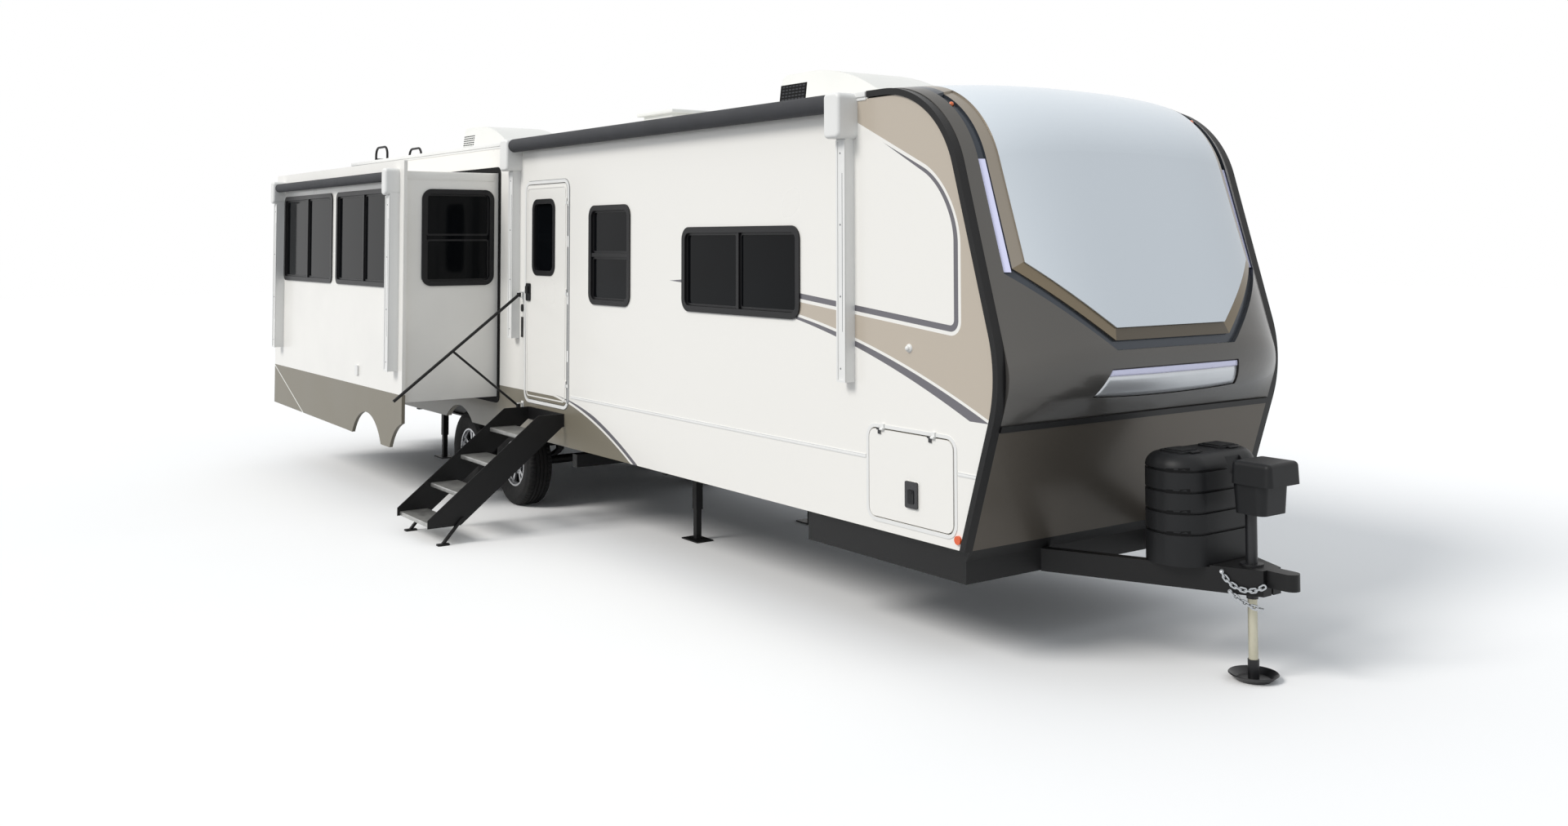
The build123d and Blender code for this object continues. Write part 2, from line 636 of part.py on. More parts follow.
# Baggage doors of the front hold: leaves hinged along their top edges
for side, name in ((-1, "baggage_door_right"), (1, "baggage_door_left")):
    with BuildPart() as baggage_door:
        with BuildSketch(side_plane(side, INNER_HALF + BODY_GAP, WALL)):
            panel(STORAGE, STORAGE_RADIUS, -PANEL_GAP)
        extrude(amount=WALL)
        latch_x = (STORAGE[0] + STORAGE[1]) / 2 + 25
        latch_out = HALF_WIDTH + BODY_GAP
        with BuildSketch(side_plane(side, latch_out, HANDLE_DEPTH)):
            with Locations((latch_x, height(STORAGE[2] + 175))):
                RectangleRounded(105, 150, 12)
        extrude(amount=HANDLE_DEPTH)
        for x in BAGGAGE_HINGE_X:
            hinge_half(baggage_hinge_plane(side, x), -1, HINGE_OUT - BODY_GAP, False)
    export(baggage_door, name)

# Slide-out rooms: an open-backed box, its outer face with lapping edges, and the skirt
BOX_NEAR = INNER_HALF - SLIDE_INSIDE
FACE_NEAR = HALF_WIDTH + SLIDE_DEPTH - FASCIA_THICKNESS
FACE_OUT = HALF_WIDTH + SLIDE_DEPTH
BOX_FRAME = (SLIDE_REAR_X, SLIDE_FRONT_X, SLIDE_LOW, SLIDE_HIGH)
end_low, end_high = END_WINDOW[2:]
END_PLANE = Plane.YZ.offset(SLIDE_FRONT_X - SLIDE_WALL)


def end_window(grow=0.0, mode=Mode.ADD):
    """Outline of the window in the slide's front end, in the open sketch."""
    near, far = END_WINDOW[:2]
    with Locations((-(near + far) / 2, height((end_low + end_high) / 2))):
        RectangleRounded(
            far - near + 2 * grow, end_high - end_low + 2 * grow, 90 + grow, mode=mode
        )


with BuildPart() as slide_box:
    with BuildSketch(side_plane(-1, BOX_NEAR, FACE_NEAR - BOX_NEAR)):
        panel(BOX_FRAME, SLIDE_CORNER)
    extrude(amount=FACE_NEAR - BOX_NEAR)
    room = FACE_NEAR - BOX_NEAR - SLIDE_WALL
    with BuildSketch(side_plane(-1, BOX_NEAR, room)):
        panel(BOX_FRAME, SLIDE_WALL + SLIDE_CORNER, -SLIDE_WALL)
    extrude(amount=room, mode=Mode.SUBTRACT)
    with BuildSketch(side_plane(-1, FACE_NEAR - SLIDE_WALL, SLIDE_WALL)):
        for window in FACE_WINDOWS:
            panel(window[:4], window[4])
    extrude(amount=SLIDE_WALL, mode=Mode.SUBTRACT)
    with BuildSketch(END_PLANE):
        end_window()
    extrude(amount=SLIDE_WALL, mode=Mode.SUBTRACT)

with BuildPart() as slide_face:
    face_frame = (
        SLIDE_REAR_X - FASCIA_SIDE_LAP,
        SLIDE_FRONT_X + FASCIA_SIDE_LAP,
        SKIRT_TOP,
        SLIDE_HIGH + FASCIA_TOP_LAP,
    )
    with BuildSketch(side_plane(-1, FACE_NEAR, FASCIA_THICKNESS)):
        panel(face_frame, 12)
        for window in FACE_WINDOWS:
            panel(window[:4], window[4], mode=Mode.SUBTRACT)
    extrude(amount=FASCIA_THICKNESS)

with BuildPart() as slide_skirt:
    with BuildSketch(side_plane(-1, FACE_NEAR, FASCIA_THICKNESS)):
        with BuildLine():
            Polyline(
                (face_frame[0], height(SKIRT_TOP)),
                (face_frame[1], height(SKIRT_TOP)),
                *[(x, height(low)) for x, low in SKIRT_EDGE],
                close=True,
            )
        make_face()
        wheel_arches()
    extrude(amount=FASCIA_THICKNESS)

with BuildPart() as slide_windows:
    depth = SLIDE_WALL + FASCIA_THICKNESS + WINDOW_PROUD
    for rear, front, low, high, radius, along in FACE_WINDOWS:
        frame = (rear, front, low, high)
        with BuildSketch(side_plane(-1, FACE_NEAR - SLIDE_WALL, depth)):
            panel(frame, radius)
            panel(frame, radius, -WINDOW_BAND, mode=Mode.SUBTRACT)
        extrude(amount=depth)
        bar_depth = GLASS_INSET + WINDOW_PROUD / 2
        with BuildSketch(side_plane(-1, FACE_OUT - GLASS_INSET, bar_depth)):
            bar_across(frame, along)
        extrude(amount=bar_depth)
    with BuildSketch(END_PLANE):
        end_window()
        end_window(-WINDOW_BAND, mode=Mode.SUBTRACT)
    extrude(amount=SLIDE_WALL + WINDOW_PROUD)

with BuildPart() as slide_glass:
    near = FACE_OUT - GLASS_INSET - GLASS_THICKNESS
    with BuildSketch(side_plane(-1, near, GLASS_THICKNESS)):
        for window in FACE_WINDOWS:
            panel(window[:4], window[4], -WINDOW_BAND)
    extrude(amount=GLASS_THICKNESS)
    with BuildSketch(Plane.YZ.offset(SLIDE_FRONT_X - GLASS_INSET - GLASS_THICKNESS)):
        end_window(-WINDOW_BAND)
    extrude(amount=GLASS_THICKNESS)

SLIDE_PIECES = (
    (slide_box, "slide_box"),
    (slide_face, "slide_face"),
    (slide_skirt, "slide_skirt"),
    (slide_windows, "slide_windows"),
    (slide_glass, "slide_glass"),
)
for piece, name in SLIDE_PIECES:
    export(piece, f"{name}_right")
    with BuildPart() as mirrored:
        mirror(piece.part, about=Plane.XZ)
    export(mirrored, f"{name}_left")

# Low-friction strips on the deck that the slide-out floors run on
with BuildPart() as slide_guides:
    strip_height = SLIDE_LOW - SEAT - DECK_TOP
    strip_length = INNER_HALF - GUIDE_INNER
    strip_y = GUIDE_INNER + strip_length / 2
    spacing = (SLIDE_FRONT_X - SLIDE_REAR_X - 2 * GUIDE_INNER) / (GUIDE_COUNT - 1)
    with BuildSketch(Plane.XY.offset(height(DECK_TOP))):
        for side in (-1, 1):
            with Locations(((SLIDE_REAR_X + SLIDE_FRONT_X) / 2, side * strip_y)):
                with GridLocations(spacing, 1, GUIDE_COUNT, 1):
                    Rectangle(GUIDE_WIDTH, strip_length)
    extrude(amount=strip_height)
export(slide_guides, "slide_guides")


def sector(inner, outer, middle, sweep, mode=Mode.SUBTRACT):
    """Opening between two radii and two angles, in the open sketch."""
    start = middle - sweep / 2
    with BuildLine() as outline:
        arc_in = CenterArc((0, 0), inner, start, sweep)
        arc_out = CenterArc((0, 0), outer, start, sweep)
        Line(arc_in @ 0, arc_out @ 0)
        Line(arc_in @ 1, arc_out @ 1)
    make_face(outline.edges(), mode=mode)


def wheel_plane(side, x, near, thickness):
    """Plane across a wheel's axis, extruded like side_plane."""
    plane = side_plane(side, near, thickness)
    centre = (x, plane.origin.Y, height(TYRE_RADIUS))
    return Plane(origin=centre, x_dir=(1, 0, 0), z_dir=(0, -1, 0))


# Wheels: a tyre and a rim with twin spokes turn together on each spindle
for side, side_name in ((-1, "right"), (1, "left")):
    for x, axle_name in zip(AXLE_X, ("front", "rear")):
        middle = (x, side * TRACK_HALF, height(TYRE_RADIUS))
        axis = Axis(middle, (0, 1, 0))
        section_plane = Plane(origin=middle, x_dir=(0, 1, 0), z_dir=(1, 0, 0))
        with BuildPart() as tyre:
            with BuildSketch(section_plane):
                half_bead, half_width = RIM_WIDTH / 2, TYRE_WIDTH / 2
                half_tread = half_width - TYRE_SHOULDER
                with BuildLine():
                    for end in (-1, 1):
                        ThreePointArc(
                            (end * half_bead, RIM_RADIUS),
                            (end * half_width, (RIM_RADIUS + TYRE_RADIUS) / 2 - 8),
                            (end * (half_width - 9), TYRE_RADIUS - TYRE_SHOULDER),
                        )
                        ThreePointArc(
                            (end * (half_width - 9), TYRE_RADIUS - TYRE_SHOULDER),
                            (end * (half_width - 18), TYRE_RADIUS - 14),
                            (end * half_tread, TYRE_RADIUS),
                        )
                    Line((-half_bead, RIM_RADIUS), (half_bead, RIM_RADIUS))
                    Line((-half_tread, TYRE_RADIUS), (half_tread, TYRE_RADIUS))
                make_face()
            revolve(axis=axis)
        export(tyre, f"tyre_{side_name}_{axle_name}")

        with BuildPart() as rim:
            barrel_near = TRACK_HALF - RIM_WIDTH / 2
            with BuildSketch(wheel_plane(side, x, barrel_near, RIM_WIDTH)):
                Circle(RIM_RADIUS - SEAT)
                Circle(RIM_RADIUS - RIM_WALL, mode=Mode.SUBTRACT)
            extrude(amount=RIM_WIDTH)
            disc_near = TRACK_HALF + RIM_DISC
            with BuildSketch(wheel_plane(side, x, disc_near, RIM_DISC_THICKNESS)):
                Circle(RIM_RADIUS - RIM_WALL / 2)
                for spoke in range(SPOKES):
                    angle = 90 + spoke * 360 / SPOKES
                    gap = 360 / SPOKES - SPOKE_PAIR_ANGLE - 16
                    sector(HUB_RADIUS + 26, RIM_RADIUS - 24, angle + 180 / SPOKES, gap)
                    sector(HUB_RADIUS + 44, RIM_RADIUS - 24, angle, SPOKE_PAIR_ANGLE - 7)
            extrude(amount=RIM_DISC_THICKNESS)
            hub_near = TRACK_HALF - 20
            hub_length = RIM_DISC + RIM_DISC_THICKNESS + 34
            with BuildSketch(wheel_plane(side, x, hub_near, hub_length)):
                Circle(HUB_RADIUS)
            extrude(amount=hub_length)
            bore_length = RIM_DISC + RIM_DISC_THICKNESS + 18
            with BuildSketch(wheel_plane(side, x, hub_near, bore_length)):
                Circle(SPINDLE_RADIUS + HUB_CLEARANCE)
            extrude(amount=bore_length, mode=Mode.SUBTRACT)
        export(rim, f"rim_{side_name}_{axle_name}")

# Axle beams with brake drums and spindles, under leaf springs hung from the rails
with BuildPart() as axles:
    drum_near = TRACK_HALF - 20 - BODY_GAP - DRUM_WIDTH
    spindle_end = TRACK_HALF - 20 + RIM_DISC + RIM_DISC_THICKNESS + 18 - 2
    for x in AXLE_X:
        for reach, radius in ((drum_near, AXLE_RADIUS), (spindle_end, SPINDLE_RADIUS)):
            with BuildSketch(wheel_plane(-1, x, -reach, 2 * reach)):
                Circle(radius)
            extrude(amount=2 * reach)
        for side in (-1, 1):
            with BuildSketch(wheel_plane(side, x, drum_near, DRUM_WIDTH)):
                Circle(DRUM_RADIUS)
            extrude(amount=DRUM_WIDTH)
    low = TYRE_RADIUS + AXLE_RADIUS - SEAT
    for side in (-1, 1):
        for x in AXLE_X:
            with BuildSketch(side_plane(side, RAIL_Y - SPRING_WIDTH / 2, SPRING_WIDTH)):
                with BuildLine():
                    ends = []
                    for lift in (0, SPRING_THICKNESS):
                        rear = (x - SPRING_HALF, height(low + SPRING_RISE + lift))
                        front = (x + SPRING_HALF, height(low + SPRING_RISE + lift))
                        ThreePointArc(rear, (x, height(low + lift)), front)
                        ends.append((rear, front))
                    Line(ends[0][0], ends[1][0])
                    Line(ends[0][1], ends[1][1])
                make_face()
                for end in (-1, 1):
                    hanger = RAIL_BOTTOM - low - SPRING_RISE
                    with Locations((x + end * (SPRING_HALF - 20), height(RAIL_BOTTOM - hanger / 2))):
                        Rectangle(40, hanger)
            extrude(amount=SPRING_WIDTH)
export(axles, "axles")

# Chassis rails of I section, crossmembers and the closed underbelly between them
with BuildPart() as chassis_frame:
    with BuildSketch(Plane.YZ.offset(RAIL_REAR_X)):
        middle = height(RAIL_BOTTOM + RAIL_HEIGHT / 2)
        flange_lift = (RAIL_HEIGHT - RAIL_FLANGE) / 2
        for side in (-1, 1):
            with Locations((side * RAIL_Y, middle)):
                Rectangle(RAIL_WEB, RAIL_HEIGHT)
            with Locations([(side * RAIL_Y, middle + end * flange_lift) for end in (-1, 1)]):
                Rectangle(RAIL_WIDTH, RAIL_FLANGE)
    extrude(amount=RAIL_FRONT_X - RAIL_REAR_X)
    clear = RAIL_HEIGHT - 2 * RAIL_FLANGE - 2 * BODY_GAP
    spacing = (RAIL_FRONT_X - RAIL_REAR_X - 200) / (CROSSMEMBER_COUNT - 1)
    length = 2 * RAIL_Y - RAIL_WEB
    with BuildSketch(Plane.XY.offset(height(RAIL_BOTTOM + RAIL_FLANGE + BODY_GAP))):
        with Locations(((RAIL_REAR_X + RAIL_FRONT_X) / 2, 0)):
            with GridLocations(spacing, 1, CROSSMEMBER_COUNT, 1):
                Rectangle(60, length)
    extrude(amount=clear)
export(chassis_frame, "chassis_frame")

with BuildPart() as underbelly:
    with BuildSketch(Plane.XY.offset(height(RAIL_BOTTOM))):
        with Locations(((RAIL_REAR_X + RAIL_FRONT_X) / 2, 0)):
            Rectangle(RAIL_FRONT_X - RAIL_REAR_X, 2 * RAIL_Y - RAIL_WIDTH)
    extrude(amount=UNDERBELLY_THICKNESS)
export(underbelly, "underbelly")

# Tongue arms, coupler and tongue jack
slope = tan(radians(TONGUE_ANGLE))
half_arm = TONGUE_WIDTH / 2 / cos(radians(TONGUE_ANGLE))
root_y = TONGUE_TIP_Y + (TONGUE_TIP_X - PAN_FRONT_X) * slope
TONGUE_TOP = TONGUE_BOTTOM + TONGUE_HEIGHT
with BuildPart() as tongue_arms:
    with BuildSketch(Plane.XY.offset(height(TONGUE_BOTTOM))):
        for side in (-1, 1):
            with BuildLine():
                Polyline(
                    (PAN_FRONT_X, side * (root_y - half_arm)),
                    (TONGUE_TIP_X, side * (TONGUE_TIP_Y - half_arm)),
                    (TONGUE_TIP_X, side * (TONGUE_TIP_Y + half_arm)),
                    (PAN_FRONT_X, side * (root_y + half_arm)),
                    close=True,
                )
            make_face()
    extrude(amount=TONGUE_HEIGHT)
export(tongue_arms, "tongue_arms")

with BuildPart() as coupler:
    plate_z = height(TONGUE_TOP)
    with BuildSketch(Plane.XY.offset(-SOCKET_THROAT)):
        Circle(COUPLER_NOSE_RADIUS)
        with Locations((TONGUE_TIP_X / 2, 0)):
            Rectangle(-TONGUE_TIP_X, 2 * COUPLER_NOSE_RADIUS)
    extrude(amount=plate_z + COUPLER_PLATE + SOCKET_THROAT)
    with BuildSketch(Plane.XY.offset(plate_z)):
        rear_half = TONGUE_TIP_Y + (TONGUE_TIP_X - COUPLER_PLATE_REAR_X) * slope + half_arm
        with BuildLine():
            Polyline(
                (COUPLER_PLATE_REAR_X, rear_half),
                (TONGUE_TIP_X, TONGUE_TIP_Y + half_arm),
                (TONGUE_TIP_X, -TONGUE_TIP_Y - half_arm),
                (COUPLER_PLATE_REAR_X, -rear_half),
                close=True,
            )
        make_face()
    extrude(amount=COUPLER_PLATE)
    with BuildSketch(Plane.XY.offset(plate_z)):
        with Locations((JACK_X, 0)):
            Circle(JACK_RADIUS + SEAT)
    extrude(amount=COUPLER_PLATE, mode=Mode.SUBTRACT)
    with BuildSketch(Plane.XY.offset(-SOCKET_THROAT)):
        Circle(SOCKET_RADIUS)
    extrude(amount=SOCKET_THROAT, mode=Mode.SUBTRACT)
    Sphere(SOCKET_RADIUS, mode=Mode.SUBTRACT)
export(coupler, "coupler")

with BuildPart() as jack_post:
    # columns: radius, low height, high height
    for radius, low, high in (
        (JACK_RADIUS, JACK_TUBE_BOTTOM, JACK_TUBE_TOP),
        (2 * JACK_RADIUS, TONGUE_TOP + COUPLER_PLATE, TONGUE_TOP + 2 * COUPLER_PLATE),
        (JACK_INNER_RADIUS, JACK_FOOT_THICKNESS, JACK_TUBE_BOTTOM),
        (JACK_INNER_RADIUS + 5, JACK_FOOT_THICKNESS, JACK_SLEEVE_TOP),
    ):
        with BuildSketch(Plane.XY.offset(height(low))):
            with Locations((JACK_X, 0)):
                Circle(radius)
        extrude(amount=high - low)
    # Dished foot: flat on the ground, its rim bent up
    flat, rise = JACK_FOOT_DISH
    rim, thick = JACK_FOOT_WIDTH / 2, JACK_FOOT_THICKNESS
    with BuildSketch(Plane.XZ):
        with BuildLine():
            Polyline(
                (JACK_X, GROUND),
                (JACK_X + flat / 2, GROUND),
                (JACK_X + rim, GROUND + rise),
                (JACK_X + rim - thick / 2, GROUND + rise + thick / 2),
                (JACK_X + flat / 2 - thick / 2, GROUND + thick),
                (JACK_X, GROUND + thick),
                close=True,
            )
        make_face()
    revolve(axis=Axis((JACK_X, 0, GROUND), (0, 0, 1)))
export(jack_post, "jack_post")

with BuildPart() as jack_head:
    low = JACK_TUBE_TOP
    for (long, wide, tall), radius, taper in ((JACK_HOUSING, 40, -4), (JACK_LID, 34, 3)):
        with BuildSketch(Plane.XY.offset(height(low))):
            with Locations((JACK_X + long / 2 - JACK_RADIUS, 0)):
                RectangleRounded(long, wide, radius)
        extrude(amount=tall, taper=taper)
        low += tall
    fillet(jack_head.faces().sort_by(Axis.Z)[-1].edges(), 26)
export(jack_head, "jack_head")

# Safety chains: links in turn flat and on edge, hanging along the tongue from welded eyes
link_long, link_wide = CHAIN_LINK
inner_radius = link_wide / 2 - CHAIN_WIRE
bend_room = sqrt(inner_radius**2 - (CHAIN_WIRE / 2) ** 2)
link_pitch = link_long - link_wide + 2 * bend_room - CHAIN_PLAY
run_x, run_y = cos(radians(TONGUE_ANGLE)), sin(radians(TONGUE_ANGLE))
outward = Vector(run_y, -run_x, 0)
with BuildPart() as safety_chains:
    for start_x, start_height, first_angle, last_angle, links in CHAINS:
        face_y = TONGUE_TIP_Y + (TONGUE_TIP_X - start_x) * slope + half_arm
        joint = Vector(start_x, -face_y, height(start_height)) + outward * link_wide / 2
        eye_depth = link_wide / 2 + CHAIN_WIRE
        with BuildSketch(Plane(origin=(start_x, -face_y, height(start_height)), z_dir=outward)):
            Circle(CHAIN_EYE_RADIUS)
        extrude(amount=eye_depth)
        for link in range(links):
            angle = radians(first_angle + (last_angle - first_angle) * link / (links - 1))
            along = Vector(run_x * cos(angle), run_y * cos(angle), sin(angle))
            centre = joint + along * link_pitch / 2
            face = outward if link % 2 else along.cross(outward)
            with BuildSketch(Plane(origin=centre, x_dir=along, z_dir=face)):
                SlotOverall(link_long, link_wide)
                SlotOverall(
                    link_long - 2 * CHAIN_WIRE, 2 * inner_radius, mode=Mode.SUBTRACT
                )
            extrude(amount=CHAIN_WIRE / 2, both=True)
            joint = joint + along * link_pitch
export(safety_chains, "safety_chains")

# Moulded cover over the two gas bottles, with its level grooves and its access recess
with BuildPart() as gas_cover:
    with BuildSketch(Plane.XY.offset(height(TONGUE_TOP))):
        with Locations((COVER_X, 0)):
            RectangleRounded(COVER_LENGTH, COVER_WIDTH, COVER_RADIUS)
    extrude(amount=COVER_HEIGHT)
    fillet(gas_cover.faces().sort_by(Axis.Z)[-1].edges(), 80)
    for slot in range(COVER_SLOTS):
        slot_height = TONGUE_TOP + COVER_HEIGHT * (0.28 + 0.19 * slot)
        with BuildSketch(Plane.XY.offset(height(slot_height))):
            with Locations((COVER_X, 0)):
                RectangleRounded(COVER_LENGTH + 20, COVER_WIDTH + 20, COVER_RADIUS + 10)
                RectangleRounded(
                    COVER_LENGTH - 2 * COVER_SLOT,
                    COVER_WIDTH - 2 * COVER_SLOT,
                    COVER_RADIUS - COVER_SLOT,
                    mode=Mode.SUBTRACT,
                )
        extrude(amount=COVER_SLOT, mode=Mode.SUBTRACT)
    recess_y, recess_height, recess_wide, recess_tall, recess_depth = COVER_RECESS
    cover_front = COVER_X + COVER_LENGTH / 2
    with BuildSketch(Plane.YZ.offset(cover_front - recess_depth)):
        with Locations((recess_y, height(recess_height))):
            Ellipse(recess_wide / 2, recess_tall / 2)
    extrude(amount=recess_depth, mode=Mode.SUBTRACT)
export(gas_cover, "gas_cover")

# Stabiliser legs hanging from bars under the rails, and the cross tube ahead of the wheels
with BuildPart() as stabilisers:
    foot_x, foot_y, foot_z = STABILISER_FOOT
    # columns: size along X, size along Y, low height, high height
    leg_stages = (
        (STABILISER_TUBE, STABILISER_TUBE, 240, RAIL_BOTTOM),
        (STABILISER_TUBE - 14, STABILISER_TUBE - 14, foot_z, 240),
        (foot_x, foot_y, 0, foot_z),
    )
    for long, wide, low, high in leg_stages:
        with BuildSketch(Plane.XY.offset(height(low))):
            with Locations([(x, side * STABILISER_Y) for x in STABILISER_X for side in (-1, 1)]):
                Rectangle(long, wide)
        extrude(amount=high - low)
    with BuildSketch(Plane.XY.offset(height(RAIL_BOTTOM - 50))):
        with Locations([(x, 0) for x in STABILISER_X]):
            Rectangle(STABILISER_TUBE, 2 * RAIL_Y + RAIL_WIDTH)
    extrude(amount=50)
    with BuildSketch(Plane.XY.offset(height(RAIL_BOTTOM - CROSS_TUBE[1]))):
        with Locations((CROSS_TUBE_X, 0)):
            Rectangle(CROSS_TUBE[0], CROSS_TUBE_LENGTH)
    extrude(amount=CROSS_TUBE[1])
export(stabilisers, "stabilisers")

with BuildPart() as bumper:
    with BuildSketch(Plane.YZ.offset(BUMPER_X - BUMPER_SIZE / 2)):
        with Locations((0, height(BUMPER_HEIGHT + BUMPER_SIZE / 2))):
            Rectangle(BUMPER_LENGTH, BUMPER_SIZE)
    extrude(amount=BUMPER_SIZE)
    bracket_x = BUMPER_X + BUMPER_SIZE / 2
    with BuildSketch(Plane.YZ.offset(bracket_x)):
        with Locations([(side * RAIL_Y, height(RAIL_BOTTOM + 35)) for side in (-1, 1)]):
            Rectangle(RAIL_WIDTH - 20, 70)
    extrude(amount=RAIL_REAR_X - bracket_x)
export(bumper, "bumper")

# Entry steps: two side plates on a wall mount, treads between them, and adjustable feet
with BuildPart() as step_frame:
    pitch = STEP_RISE / STEP_RUN
    wall_y = -HALF_WIDTH - STEP_MOUNT
    nose_y = STEP_FIRST_Y - 20
    nose_low = STEP_FIRST_HEIGHT - TREAD_THICKNESS
    top_y = nose_y + (STRINGER_TOP - STEP_FIRST_HEIGHT - 30) / pitch
    heel_y = nose_y + STRINGER_DEPTH
    wall_low = nose_low + (wall_y - heel_y) * pitch
    for side in (-1, 1):
        start = STEP_X + (side * (STEP_WIDTH + STRINGER) - STRINGER) / 2
        with BuildSketch(Plane.YZ.offset(start)):
            with BuildLine():
                Polyline(
                    (nose_y, height(nose_low)),
                    (nose_y, height(STEP_FIRST_HEIGHT + 30)),
                    (top_y, height(STRINGER_TOP)),
                    (wall_y, height(STRINGER_TOP)),
                    (wall_y, height(wall_low)),
                    (heel_y, height(nose_low)),
                    close=True,
                )
            make_face()
        extrude(amount=STRINGER)
        leg_x = STEP_X + side * (STEP_WIDTH + 2 * STRINGER + STEP_LEG) / 2
        leg_top, leg_foot = (heel_y + 10, nose_low + 60), (heel_y - 150, STEP_FOOT[2])
        with BuildSketch(Plane.YZ.offset(leg_x - STEP_LEG / 2)):
            with BuildLine():
                Polyline(
                    (leg_top[0] - STEP_LEG / 2, height(leg_top[1])),
                    (leg_top[0] + STEP_LEG / 2, height(leg_top[1])),
                    (leg_foot[0] + STEP_LEG / 2, height(leg_foot[1])),
                    (leg_foot[0] - STEP_LEG / 2, height(leg_foot[1])),
                    close=True,
                )
            make_face()
        extrude(amount=STEP_LEG)
        with BuildSketch(Plane.XY.offset(GROUND)):
            with Locations((leg_x, leg_foot[0])):
                RectangleRounded(STEP_FOOT[0], STEP_FOOT[1], 12)
        extrude(amount=STEP_FOOT[2])
    with BuildSketch(side_plane(-1, HALF_WIDTH, STEP_MOUNT)):
        with Locations((STEP_X, height((wall_low + STRINGER_TOP) / 2))):
            Rectangle(STEP_WIDTH + 2 * STRINGER, STRINGER_TOP - wall_low)
    extrude(amount=STEP_MOUNT)
export(step_frame, "step_frame")

with BuildPart() as step_treads:
    for step in range(STEP_COUNT):
        tread_y = STEP_FIRST_Y + step * STEP_RUN
        top = STEP_FIRST_HEIGHT + step * STEP_RISE
        with BuildSketch(Plane.YZ.offset(STEP_X - STEP_WIDTH / 2)):
            with Locations((tread_y + TREAD_DEPTH / 2, height(top - TREAD_THICKNESS / 2))):
                RectangleRounded(TREAD_DEPTH, TREAD_THICKNESS, 8)
        extrude(amount=STEP_WIDTH)
export(step_treads, "step_treads")


# Fixed halves of the door hinges, and the two wall brackets of the folding handrail
pivot_gap = -RAIL_PIVOT_Y - HALF_WIDTH
with BuildPart() as hinges:
    for at_height in DOOR_HINGE_HEIGHTS:
        hinge_half(door_hinge_plane(at_height), 1, HINGE_OUT - DOOR_FRAME_PROUD, True)
    for side in (-1, 1):
        for x in BAGGAGE_HINGE_X:
            hinge_half(baggage_hinge_plane(side, x), 1, HINGE_OUT, True)
    for at_height in (HANDRAIL_TOP, STRUT_LOW):
        tall = HANDRAIL_KNUCKLE + 2 * SEAT + 2 * BRACKET_LUG
        with BuildSketch(side_plane(-1, HALF_WIDTH, BRACKET_PLATE)):
            with Locations((RAIL_PIVOT_X, height(at_height))):
                RectangleRounded(BRACKET_WIDTH, tall + 30, 6)
        extrude(amount=BRACKET_PLATE)
        for end in (-1, 1):
            low = at_height + end * (tall - BRACKET_LUG) / 2 - BRACKET_LUG / 2
            with BuildSketch(Plane.XY.offset(height(low))):
                with Locations((RAIL_PIVOT_X, RAIL_PIVOT_Y + pivot_gap / 2)):
                    Rectangle(2 * HANDRAIL_RADIUS, pivot_gap)
                with Locations((RAIL_PIVOT_X, RAIL_PIVOT_Y)):
                    Circle(HANDRAIL_RADIUS)
            extrude(amount=BRACKET_LUG)
        with BuildSketch(Plane.XY.offset(height(at_height - tall / 2))):
            with Locations((RAIL_PIVOT_X, RAIL_PIVOT_Y)):
                Circle(HANDRAIL_PIN)
        extrude(amount=tall)
export(hinges, "hinges")

with BuildPart() as handrail:
    strut_join = HANDRAIL_TOP + (HANDRAIL_LOW - HANDRAIL_TOP) * STRUT_REACH / HANDRAIL_REACH
    # columns: radius, height at the pivot, reach, height at the far end
    tubes = (
        (HANDRAIL_RADIUS - 2, HANDRAIL_TOP, HANDRAIL_REACH, HANDRAIL_LOW),
        (STRUT_RADIUS, STRUT_LOW, STRUT_REACH, strut_join),
    )
    for radius, pivot_height, reach, far_height in tubes:
        start = Vector(RAIL_PIVOT_X, RAIL_PIVOT_Y, height(pivot_height))
        end = Vector(RAIL_PIVOT_X, RAIL_PIVOT_Y - reach, height(far_height))
        with BuildSketch(Plane(origin=start, z_dir=end - start)):
            Circle(radius)
        extrude(amount=(end - start).length)
    # Columns at each pivot: radius, length, cleared or added
    knuckle_radius, knuckle = HANDRAIL_RADIUS + 3, HANDRAIL_KNUCKLE
    columns = (
        (knuckle_radius, 10 * knuckle, Mode.SUBTRACT),
        (knuckle_radius, knuckle, Mode.ADD),
        (HANDRAIL_PIN + PIN_CLEARANCE, knuckle, Mode.SUBTRACT),
    )
    for at_height in (HANDRAIL_TOP, STRUT_LOW):
        for radius, tall, mode in columns:
            with BuildSketch(Plane.XY.offset(height(at_height - tall / 2))):
                with Locations((RAIL_PIVOT_X, RAIL_PIVOT_Y)):
                    Circle(radius)
            extrude(amount=tall, mode=mode)
export(handrail, "handrail")


def awning_frame(arms, near, arm_depth, head_depth, head_width, head_low, head_high):
    """Arms flat on the wall with a rounded head on each, in the open part."""
    head_middle = (head_low + head_high) / 2
    for rear, front, low in arms:
        middle = (rear + front) / 2
        with BuildSketch(side_plane(-1, near, arm_depth)) as arm:
            with Locations((middle, height((low + head_middle) / 2))):
                Rectangle(front - rear, head_middle - low)
        extrude(arm.sketch, amount=arm_depth)
        with BuildSketch(side_plane(-1, near, head_depth)) as head:
            with Locations((middle, height(head_middle))):
                RectangleRounded(head_width, head_high - head_low, HEAD_CORNER)
        extrude(head.sketch, amount=head_depth)


